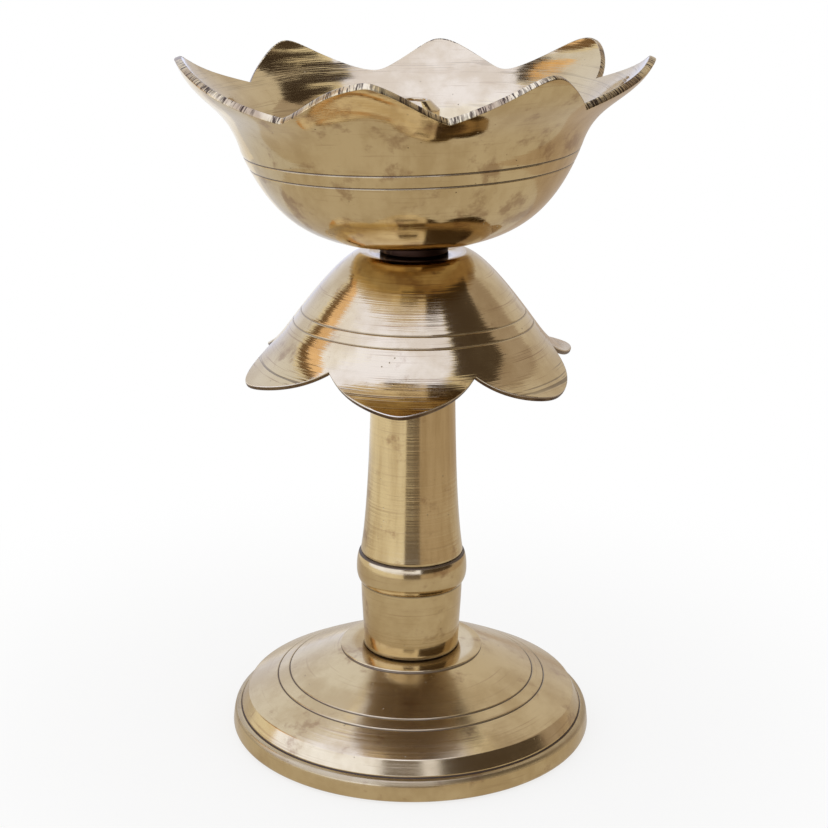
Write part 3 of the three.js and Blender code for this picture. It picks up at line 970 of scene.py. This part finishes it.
def flat_ring(
    node: str,
    slot: Slot,
    bore_r: float,
    size: Point,
    finish: Finish,
    soft: float = 0.2,
    columns: int = 128,
) -> bpy.types.Object:
    """A flat ring on the foot of its node.

    Args:
        node: The node that it stands for.
        slot: Its material slot.
        bore_r: Radius of its bore.
        size: Outer radius and height.
        finish: Its finish.
        soft: How far from its corners their rounding starts.
        columns: Columns round the ring.

    Returns:
        The ring.
    """
    outer_r, height = size
    corners = [(bore_r, 0.0), (outer_r, 0.0), (outer_r, height), (bore_r, height)]
    return TurnedPiece(node, slot, [plain(softened(corners, soft))], (finish,), columns).build()


@dataclass(frozen=True)
class Finishes:
    """All finishes of the lamp."""

    bowl: TurnedBrass = TurnedBrass("bowl brass", stain_from=0.52, upright=0.35, hand_depth=0.035)
    bowl_inside: TurnedBrass = TurnedBrass(
        "bowl inside brass", line_depth=0.016, score=0.2, stain_from=0.64)
    skirt: TurnedBrass = TurnedBrass(
        "skirt brass", line_pitch=0.34, line_depth=0.028, streak=0.75, roughness=0.11, score=0.6,
        score_from_r=22.5)
    column: TurnedBrass = TurnedBrass(
        "column brass", line_pitch=0.5, line_depth=0.02, wave_depth=0.012, upright=0.8, roughness=0.16)
    socket: TurnedBrass = TurnedBrass("socket brass", streak=0.35, roughness=0.14)
    base: TurnedBrass = TurnedBrass(
        "base brass", line_pitch=0.5, line_depth=0.012, streak=0.4, roughness=0.17)
    # The neck ring's near-black colours are painted shade under the bowl.
    neck: TurnedBrass = TurnedBrass(
        "neck painted shade brass", light=(0.07, 0.036, 0.02), deep=(0.035, 0.018, 0.01), roughness=0.5)
    washer: TurnedBrass = TurnedBrass("washer brass", roughness=0.25)
    wick: TurnedBrass = TurnedBrass("wick holder brass", line_depth=0.012)
    rod: TurnedBrass = TurnedBrass(
        "rod brass", light=(0.40, 0.29, 0.13), deep=(0.26, 0.17, 0.07), roughness=0.3)
    rough: RoughCast = RoughCast("rough cast brass")
    bored: RoughCast = RoughCast("bored brass", light=(0.36, 0.26, 0.13), roughness=0.4)
    bowl_edge: FiledEdge = FiledEdge("bowl edge brass")
    skirt_edge: FiledEdge = FiledEdge(
        "skirt edge brass", bright=(0.20, 0.13, 0.065), dull=(0.09, 0.052, 0.028),
        stroke_share=0.35, arris=(0.62, 0.74))
    steel: ScrewSteel = ScrewSteel("screw steel")


@dataclass
class RoundBase:
    """The dished base with its boss, the socket on it, and the screw and washer beneath.

    The ledge on the rolled foot and the cleft behind it are measured from the bevel's foot.
    """

    finishes: Finishes
    foot_r: float = 32.1
    rest_outer_r: float = 30.6
    rest_inner_r: float = 28.0
    bulge_h: float = 1.2
    roll_top: Point = (31.2, 4.1)
    bevel_foot: Point = (30.6, 4.35)
    ledge: tuple[Point, ...] = ((0.36, -0.16), (0.16, -0.17))
    cleft: tuple[Point, ...] = ((0.07, -0.22), (-0.04, -0.2), (-0.07, -0.06))
    hollow_h: float = 4.2
    shoulder: Point = (29.3, 6.8)
    platform_r: float = 12.65
    platform_h: float = 15.2
    platform_step: float = 0.5
    wall: float = 2.4
    boss_r: float = 6.5
    boss_h: float = 6.0
    bore_r: float = 2.7
    groove_insets: tuple[float, float] = (5.3, 7.4)
    soft: float = 0.3
    socket_foot_r: float = 8.45
    socket_top_r: float = 8.95
    socket_h: float = 17.7
    bead_proud: float = 0.8
    bead_foot_drop: float = 5.4
    bead_middle_drop: float = 3.0
    bead_top_r: float = 9.3
    screw_depth: float = 6.6
    stud_bore_r: float = 3.325
    stud_floor: float = 9.68
    screw_r: float = 2.5
    screw_head: Point = (4.5, 2.6)
    screw_pitch: float = 0.8
    screw_neck: float = 2.0
    slot_size: Point = (1.1, 1.2)
    washer: Point = (6.0, 0.8)

    def build(self) -> None:
        """Makes the four pieces."""
        self.base_foot()
        self.stem_socket()
        self.base_screw()
        steel = self.finishes.steel
        flat_ring("base_washer", Slot.STEEL, self.bore_r, self.washer, steel, soft=0.15, columns=96)

    def base_foot(self) -> bpy.types.Object:
        """The dished base: resting ring, rolled foot, bevel, grooved slope and platform."""
        bulge = (self.foot_r, self.bulge_h)
        slope_top = (self.platform_r, self.platform_h - self.platform_step)
        lower = Bend((self.rest_outer_r, 0.0), bulge, (0.6, 0.1), (0.0, 0.6))
        upper = Bend(bulge, self.roll_top, (0.2, 0.85), (0.4, 0.0))
        slope = Bend(self.shoulder, slope_top, (0.26, 0.3), (0.29, 0.25))
        grooves = [slope.reach(0, self.shoulder[0] - inset) for inset in self.groove_insets]
        underside = slope.lifted(np.linspace(0.9, 0.06, 24), self.wall)
        hollow = np.concatenate([
            [(self.bore_r, self.boss_h), (self.boss_r, self.boss_h)],
            [(self.boss_r, self.platform_h - self.wall)],
            underside,
            [(self.rest_inner_r, self.hollow_h), (self.rest_inner_r, 0.0)],
            [(self.rest_outer_r, 0.0)],
        ])
        corner = np.array(self.bevel_foot)
        bevel_steps = np.array([0.03, 0.1, 0.5, 0.9, 0.96])[:, None]
        bevel = corner + (np.array(self.shoulder) - corner) * bevel_steps
        platform = [slope_top, (self.platform_r, self.platform_h), (self.bore_r, self.platform_h)]
        top = softened(platform, self.soft * 0.7)
        t = np.linspace(0.0, 1.0, 14)
        rows = [
            plain(softened(hollow, 0.4, 3)[:-1], Face.INSIDE),
            plain(lower.at(t)),
            plain(upper.at(t[1:6])),
            # Painted shade: the top of the roll under the ledge, the ledge and the cleft are darkened.
            plain(upper.at(t[6:]), dirt_and_shade=0.3),
            plain(corner + self.ledge, dirt_and_shade=0.2),
            plain(corner + self.cleft, dirt_and_shade=1.0),
            plain(bevel),
            Groove().cut(slope, 80, grooves, 1.0),
            # Painted shade: the cove where the slope meets the platform's riser is darkened.
            plain(top[:2], dirt_and_shade=0.8),
            plain(top[2:]),
        ]
        look = (self.finishes.base, self.finishes.rough)
        return TurnedPiece("base_foot", Slot.CAST, rows, look, columns=288).build()

    def stem_socket(self) -> bpy.types.Object:
        """The lower stem: a nearly straight drum under a round bead, bored at both ends."""
        bead_foot = (self.socket_top_r, self.socket_h - self.bead_foot_drop)
        bead_middle = (self.socket_top_r + self.bead_proud, self.socket_h - self.bead_middle_drop)
        bead_top = (self.bead_top_r, self.socket_h)
        foot_soft = self.soft / 3
        drum = Bend((self.socket_foot_r, foot_soft), bead_foot, (0.2, 0.4), (0.0, 0.3))
        lower = Bend(bead_foot, bead_middle, (0.6, 0.1), (0.0, 0.5))
        upper = Bend(bead_middle, bead_top, (0.0, 0.5), (0.6, 0.2))
        t = np.linspace(0.0, 1.0, 16)
        foot = [(0.0, self.screw_depth), (self.bore_r, self.screw_depth), (self.bore_r, 0.0)]
        head = [(self.stud_bore_r, self.socket_h), (self.stud_bore_r, self.stud_floor)]
        rows = [
            plain(foot, Face.INSIDE),
            # Painted shade: the foot where it meets the platform, both ends of the drum and the creases of
            # the bead are darkened.
            plain([(self.socket_foot_r - foot_soft, 0.0)], dirt_and_shade=1.0),
            plain(drum.at(np.array([0.0])), dirt_and_shade=0.5),
            plain(drum.at(np.linspace(0.05, 0.97, 40))),
            plain(drum.at(np.array([0.985])), dirt_and_shade=0.5),
            plain(lower.at(t[:1]), dirt_and_shade=0.7),
            plain(lower.at(t[1:])),
            plain(upper.at(t[1:-2])),
            plain(upper.at(t[-2:]), dirt_and_shade=0.9),
            plain([*head, (0.0, self.stud_floor)], Face.INSIDE),
        ]
        look = (self.finishes.socket, self.finishes.bored)
        return TurnedPiece("stem_socket", Slot.TURNED, rows, look).build()

    def base_screw(self) -> bpy.types.Object:
        """The slotted round-head screw, tip up."""
        head_r, head_h = self.screw_head
        foot_z = foot_of("base_screw")
        tip = top_of("base_screw") - foot_z
        thread_foot = head_h + self.screw_neck
        crown = Bend((0.0, 0.0), self.screw_head, (0.6, 0.0), (0.0, 0.6))
        under = softened([self.screw_head, (self.screw_r, head_h), (self.screw_r, thread_foot)], 0.2)
        columns = 96
        rows = [
            plain(crown.at(np.linspace(0.0, 1.0, 20))),
            plain(under[1:]),
            thread(self.screw_r, self.screw_pitch, thread_foot + 0.2, tip - 0.05, columns, 0.3),
            plain([(0.0, tip)]),
        ]
        piece = TurnedPiece("base_screw", Slot.STEEL, rows, (self.finishes.steel,), columns).build()
        width, depth = self.slot_size
        half = np.array([1.5 * head_r, width / 2.0, depth])
        signs = np.array([(x, y, z) for z in (-1, 1) for y in (-1, 1) for x in (-1, 1)])
        sides = [(0, 2, 3, 1), (4, 5, 7, 6), (0, 1, 5, 4), (2, 6, 7, 3), (0, 4, 6, 2), (1, 3, 7, 5)]
        subtract(piece, signs * half + [0.0, 0.0, foot_z], sides)
        return piece


@dataclass
class StemColumn:
    """The tapered column and the threaded rod that joins it to the socket."""

    finishes: Finishes
    height: float = 52.7
    foot_r: float = 9.05
    top_r: float = 7.0
    foot_bore: Point = (3.325, 8.02)
    top_bore: Point = (2.53, 43.83)
    stud_r: float = 3.175
    stud_pitch: float = 1.27
    soft: float = 0.3
    top_soft: float = 0.2

    def build(self) -> None:
        """Makes the two pieces."""
        self.stem_column()
        threaded_rod("column_stud", self.stud_r, self.stud_pitch, 96, self.finishes.rod)

    def stem_column(self) -> bpy.types.Object:
        """The column, with a bore at each end."""
        side = Bend((self.foot_r, self.soft), (self.top_r, self.height), (0.95, 0.22), (0.11, 0.23))
        foot_r, foot_z = self.foot_bore
        top_r, top_z = self.top_bore
        foot = [(0.0, foot_z), (foot_r, foot_z), (foot_r, 0.0)]
        top = [(top_r, self.height), (top_r, top_z), (0.0, top_z)]
        rows = [
            plain(foot, Face.INSIDE),
            # Painted shade: the rounded corners at the foot and the top, where the column meets its
            # neighbours, are darkened.
            plain([(self.foot_r - self.soft, 0.0)], dirt_and_shade=1.0),
            plain(side.at(np.linspace(0.0, 0.996, 90))),
            plain([(self.top_r - self.top_soft, self.height)], dirt_and_shade=0.8),
            plain(top, Face.INSIDE),
        ]
        look = (self.finishes.column, self.finishes.bored)
        return TurnedPiece("stem_column", Slot.TURNED, rows, look).build()


@dataclass
class PetalSkirt:
    """The inverted cup under the bowl, sawn into six petals. Its crown's top is z = 0."""

    finishes: Finishes
    crown_r: float = 9.3
    crown_t: float = 1.3
    walls: Point = (1.2, 0.8)
    waist: Point = (21.7, -13.3)
    tip: Point = (30.9, -20.1)
    petal_length: float = 7.1
    petals: tuple[Petal, ...] = (
        Petal(-4, 25, 0.15, (-0.4, 0.2)),
        Petal(53, 86, 0.3, (-1.5, 0.1)),
        Petal(118, 146, 0.3, (-0.3, 0.8)),
        Petal(175, 205, 0.3),
        Petal(230, 266, 0.3, (-0.6, 0.2)),
        Petal(293, 325, 0.2, (-0.9, 0.0)),
    )
    groove_rises: Point = (1.6, 3.4)
    bore_r: float = 2.53
    soft: float = 0.3

    def build(self) -> bpy.types.Object:
        """Makes the skirt."""
        wall, edge_wall = self.walls
        shoulder = Bend((self.crown_r, 0.0), self.waist, (0.3, 0.08), (0.13, 0.16))
        flare = Bend(self.waist, self.tip, (0.36, 0.68), (0.36, 0.17))
        valley_t = flare.reach(0, self.tip[0] - self.petal_length)
        lip = PetalledLip(flare, flare, self.petals, valley_t, (-wall, -edge_wall))
        grooves = [shoulder.reach(1, self.waist[1] + rise) for rise in self.groove_rises]
        crown = [(self.bore_r, -self.crown_t), (self.crown_r - self.soft, -self.crown_t)]
        inside = shoulder.lifted(np.linspace(0.2, 1.0, 26), -wall)
        outside = Groove(depth=0.1, dirt_and_shade=0.6).cut(shoulder, 56, grooves, -1.0)
        rows = [
            plain(softened([*crown, *inside], self.soft, 4)[:-1], Face.INSIDE),
            lip.side(np.linspace(0.0, 0.985, 26), Face.INSIDE, inner=True),
            lip.edge().reversed(),
            lip.side(np.linspace(0.985, 0.02, 44), Face.OUTSIDE),
            outside.reversed(),
            plain([(self.crown_r - self.soft, 0.02), (self.bore_r, 0.0)]),
        ]
        look = (self.finishes.skirt, self.finishes.rough, self.finishes.skirt_edge)
        top = top_of("petal_skirt")
        return TurnedPiece("petal_skirt", Slot.TURNED, rows, look, lip.columns, foot_z=top).build()


@dataclass
class OilBowl:
    """The bowl sawn into seven uneven petals, its neck ring, its rod and the washer in it."""

    finishes: Finishes
    foot_r: float = 5.9
    floor: Point = (7.4, 1.5)
    wall: float = 1.15
    waist: Point = (28.3, 16.6)
    tip: Point = (39.4, 30.1)
    petal_depth: float = 5.8
    petals: tuple[Petal, ...] = (
        Petal(-9, 10, 0.05, (0.0, 0.5), bent=True),
        Petal(34, 52, 0.25, (0.0, 0.5)),
        Petal(84, 110, 0.1, (0.7, -0.1)),
        Petal(124.5, 150, 0.6, (0.0, 0.6), 0.2),
        Petal(172, 191, 0.4, (0.0, -0.5), 0.3),
        Petal(216, 236, 0.25, (0.0, 0.6)),
        Petal(275, 325.5, 1.8, (-1.25, 1.9)),
    )
    groove_drops: Point = (0.7, 2.8)
    lean: float = 1.95
    bore_r: float = 2.53
    neck: Point = (5.7, 1.5)
    stud_r: float = 2.38
    stud_pitch: float = 1.058
    washer: Point = (5.6, 0.77)

    def build(self) -> None:
        """Makes the four pieces."""
        self.oil_bowl()
        finishes = self.finishes
        flat_ring("neck_ring", Slot.CAST, self.bore_r, self.neck, finishes.neck)
        flat_ring("sealing_washer", Slot.TURNED, self.bore_r, self.washer, finishes.washer)
        threaded_rod("bowl_stud", self.stud_r, self.stud_pitch, 80, finishes.rod)

    def oil_bowl(self) -> bpy.types.Object:
        """The bowl: flat foot, round belly and flared lip."""
        belly = Bend((self.foot_r, 0.0), self.waist, (0.49, 0.07), (0.22, 0.74))
        flare = Bend(self.waist, self.tip, (0.22, 0.56), (0.26, 0.48))
        bent = Bend(self.waist, self.tip, (0.22, 0.62), (0.28, 0.22))
        valley_t = flare.reach(1, self.tip[1] - self.petal_depth)
        lip = PetalledLip(flare, bent, self.petals, valley_t, (self.wall, self.wall))
        grooves = [belly.reach(1, self.waist[1] - drop) for drop in self.groove_drops]
        inside = belly.lifted(np.linspace(0.98, 0.25, 40), self.wall)
        floor_r, floor_t = self.floor
        rows = [
            plain([(self.bore_r, 0.0)]),
            Groove().cut(belly, 80, grooves, 1.0),
            lip.side(np.linspace(0.02, 0.985, 44), Face.OUTSIDE),
            lip.edge(),
            lip.side(np.linspace(0.985, 0.0, 32), Face.INSIDE, inner=True),
            plain(inside, Face.INSIDE),
            plain([(floor_r, floor_t), (self.bore_r, floor_t)], Face.INSIDE),
        ]
        look = (self.finishes.bowl, self.finishes.bowl_inside, self.finishes.bowl_edge)
        return TurnedPiece("oil_bowl", Slot.POLISHED, rows, look, lip.columns, lean=self.lean).build()


@dataclass
class WickHolder:
    """The flanged tube in the middle of the bowl, with a wick bore and two oil holes."""

    finishes: Finishes
    outer_r: float = 4.1
    height: float = 21.6
    flange: Point = (5.4, 1.2)
    tap: Point = (2.53, 4.63)
    bore_r: float = 1.8
    bore_floor: float = 6.03
    lip_r: float = 2.4
    bevel_h: float = 1.6
    hole_r: float = 1.1
    hole_rise: float = 1.5
    mouth_h: float = 1.0
    soft: float = 0.25

    def build(self) -> bpy.types.Object:
        """Makes the wick holder."""
        flange_r, flange_t = self.flange
        tap_r, tap_z = self.tap
        outside = [
            (tap_r, 0.0),
            (flange_r, 0.0),
            (flange_r, flange_t),
            (self.outer_r, flange_t),
            (self.outer_r, self.height - self.bevel_h),
            (self.lip_r, self.height),
            (self.bore_r, self.height),
            (self.bore_r, self.height - self.mouth_h),
        ]
        rows = [
            plain([(0.0, tap_z), (tap_r, tap_z)], Face.INSIDE),
            plain(softened(outside, self.soft)),
            plain([(self.bore_r, self.bore_floor), (0.0, self.bore_floor)], Face.INSIDE),
        ]
        look = (self.finishes.wick, self.finishes.bored)
        piece = TurnedPiece("wick_holder", Slot.POLISHED, rows, look, columns=128).build()
        count = 32
        turn = turns(count)
        disc_z = foot_of("wick_holder") + self.bore_floor + self.hole_rise + self.hole_r * np.sin(turn)
        disc = np.stack([np.zeros(count), self.hole_r * np.cos(turn), disc_z], axis=-1)
        reach = np.array([1.5 * self.outer_r, 0.0, 0.0])
        sides = [(i, (i + 1) % count, (i + 1) % count + count, i + count) for i in range(count)]
        ends = [tuple(range(count))[::-1], tuple(range(count, 2 * count))]
        subtract(piece, np.concatenate([disc - reach, disc + reach]), [*sides, *ends])
        return piece


@dataclass(frozen=True)
class Card:
    """A patch of the studio's dome that lights the metal and shows in it.

    Azimuths and elevations are in degrees, seen from the dome's middle.
    """

    name: str
    azimuths: Point
    elevations: Point
    light: Colour
    distance: float = 0.85

    def build(self, middle_z: float) -> None:
        """Makes the patch: the point (a, e) goes to d * (cos e sin a, -cos e cos a, sin e)."""
        steps = 24
        a = np.radians(np.linspace(*self.azimuths, steps))[None, :]
        e = np.radians(np.linspace(*self.elevations, steps))[:, None]
        flat = np.cos(e) * self.distance
        z = np.broadcast_to(np.sin(e) * self.distance + middle_z, (steps, steps))
        spots = np.stack([flat * np.sin(a), -flat * np.cos(a), z], axis=-1).reshape(-1, 3)
        number = np.arange(steps * steps).reshape(steps, steps)
        quads = [number[:-1, :-1], number[:-1, 1:], number[1:, 1:], number[1:, :-1]]
        faces = np.stack([quad.ravel() for quad in quads], axis=-1)
        mesh = bpy.data.meshes.new(self.name)
        mesh.from_pydata(spots.tolist(), [], faces.tolist())
        recipe = Recipe(self.name)
        glow = recipe.node("ShaderNodeEmission", {}, self.light, 1.0)
        recipe.node("ShaderNodeOutputMaterial", {}, glow.outputs[0])
        mesh.materials.append(recipe.owner)
        card = bpy.data.objects.new(self.name, mesh)
        bpy.context.scene.collection.objects.link(card)
        card.visible_camera = False
        card.visible_diffuse = False
        card.visible_shadow = False


@dataclass(frozen=True)
class Studio:
    """White room with a broad light to the left, dark screens in front and to the right, and a
    pale floor."""

    middle_z: float = 0.06
    floor_r: float = 0.15
    floor_colour: Colour = (0.9, 0.9, 0.9)
    floor_in_metal: Colour = (0.62, 0.58, 0.55)
    fill: float = 0.95
    cards: tuple[Card, ...] = (
        Card("key_light", (-99, 19), (-4, 50), (1.35, 1.6, 2.6)),
        Card("top_light", (-122, 46), (46, 89), (1.3, 1.55, 2.75)),
        Card("back_light", (46, 238), (70, 89), (1.3, 1.55, 2.75)),
        Card("lip_light", (-185, -118), (60.8, 86), (1.3, 1.55, 2.75), 0.2),
        Card("lip_dark", (-160, -145), (57.3, 60.8), (0.07, 0.055, 0.05), 0.19),
        Card("lip_gold", (-159, -150), (54, 57.3), (1.2, 0.85, 0.5), 0.19),
        Card("lip_screen_left", (146.5, 162), (60.5, 71.5), (0.07, 0.055, 0.05), 0.19),
        Card("lip_screen_middle", (137, 146.5), (59.5, 67.5), (0.07, 0.055, 0.05), 0.19),
        Card("lip_screen_right", (110, 137), (57.5, 72), (0.07, 0.055, 0.05), 0.19),
        Card("front_screen", (-18, 8), (8, 20), (0.20, 0.17, 0.16), 0.3),
        Card("low_screen", (-16, 18), (-17.5, -4), (0.19, 0.16, 0.14), 0.3),
        Card("side_screen", (19, 92), (-6, 46), (0.11, 0.09, 0.08), 0.3),
        Card("corner_screen", (46, 97), (46, 60), (0.10, 0.08, 0.07), 0.3),
        Card("left_wall", (-182, -124), (-4, 60), (0.93, 1.02, 1.35), 0.82),
        Card("right_wall", (92, 124), (-2, 60), (0.52, 0.47, 0.48), 0.82),
        Card("back_wall", (124, 178), (-2, 62), (0.74, 0.73, 0.78), 0.82),
        Card("left_ground", (-182, -20), (-40, -18), (0.74, 0.76, 0.84), 0.83),
        Card("warm_ground", (3, 178), (-60, -2), (0.56, 0.48, 0.42), 0.84),
        Card("right_ground", (16, 130), (-84, -60), (0.36, 0.31, 0.28), 0.83),
        Card("bar", (-120, -111), (5, 46), (0.24, 0.16, 0.10), 0.75),
        Card("bar_edge", (-111, -98), (5, 46), (1.2, 0.92, 0.72), 0.75),
        Card("front_ground", (-80, 16), (-89, -40), (0.62, 0.58, 0.56), 0.82),
    )

    def build(self) -> None:
        """Makes the world, the cards and the floor."""
        self.world()
        for card in self.cards:
            card.build(self.middle_z)
        self.floor()

    def world(self) -> None:
        """White where it is seen, and dimmer as the light on matt things."""
        recipe = Recipe("studio", "worlds")
        path = recipe.node("ShaderNodeLightPath", {})
        rays = ("Is Camera Ray", "Is Glossy Ray", "Is Transmission Ray")
        camera, glossy, through = (Value(recipe, path.outputs[ray]) for ray in rays)
        strength = (camera + glossy + through) * (1.0 - self.fill) + self.fill
        background = recipe.node("ShaderNodeBackground", {}, (1.0, 1.0, 1.0), strength)
        recipe.node("ShaderNodeOutputWorld", {}, background.outputs[0])
        bpy.context.scene.world = recipe.owner

    def floor(self) -> None:
        """A pale disc that keeps the object's soft shadow and melts into the background."""
        count = 128
        turn = turns(count)
        ring = np.stack([np.cos(turn), np.sin(turn), np.zeros(count)], axis=-1) * self.floor_r
        mesh = bpy.data.meshes.new("floor")
        mesh.from_pydata(ring.tolist(), [], [list(range(count))])
        recipe = Recipe("pale floor")
        matt = recipe.node("ShaderNodeBsdfDiffuse", {}, self.floor_colour)
        path = recipe.node("ShaderNodeLightPath", {})
        camera = Value(recipe, path.outputs["Is Camera Ray"])
        glossy = Value(recipe, path.outputs["Is Glossy Ray"])
        far = recipe.radius.between(0.3 * self.floor_r, 0.9 * self.floor_r)
        tint = recipe.blend(camera, self.floor_in_metal, (1.0, 1.0, 1.0))
        glow = recipe.node("ShaderNodeEmission", {}, tint, 1.0)
        share = camera * (far * 0.25 + 0.75) + glossy * 0.85
        mixed = recipe.node("ShaderNodeMixShader", {}, share, matt.outputs[0], glow.outputs[0])
        recipe.node("ShaderNodeOutputMaterial", {}, mixed.outputs[0])
        mesh.materials.append(recipe.owner)
        floor = bpy.data.objects.new("floor", mesh)
        bpy.context.scene.collection.objects.link(floor)


@dataclass(frozen=True)
class PhotoCamera:
    """The camera of the photograph: place in millimetres, pitch and roll in degrees."""

    place: tuple[float, float, float] = (0.2, -300.0, 151.0)
    pitch: float = 17.21
    roll: float = 0.46
    lens: float = 78.74

    def build(self) -> None:
        """Makes the camera and makes it the scene's."""
        data = bpy.data.cameras.new("photo_camera")
        data.lens = self.lens
        data.sensor_width = 36.0
        data.clip_start = 0.01
        data.clip_end = 20.0
        camera = bpy.data.objects.new("photo_camera", data)
        bpy.context.scene.collection.objects.link(camera)
        tilt = Matrix.Rotation(math.radians(90.0 - self.pitch), 4, "X")
        roll = Matrix.Rotation(math.radians(self.roll), 4, "Z")
        where = Matrix.Translation([value * MM for value in self.place])
        camera.matrix_world = where @ tilt @ roll
        bpy.context.scene.camera = camera


def main() -> None:
    """Builds the lamp from the ground up, then the room and the camera."""
    logging.basicConfig(level=logging.INFO, format="%(name)s: %(message)s")
    finishes = Finishes()
    parts = (RoundBase, StemColumn, PetalSkirt, OilBowl, WickHolder)
    for part in parts:
        part(finishes).build()
        LOG.info("built %s", part.__name__)
    Studio().build()
    PhotoCamera().build()
    view = bpy.context.scene.view_settings
    view.view_transform = "Standard"


if __name__ == "__main__":
    main()
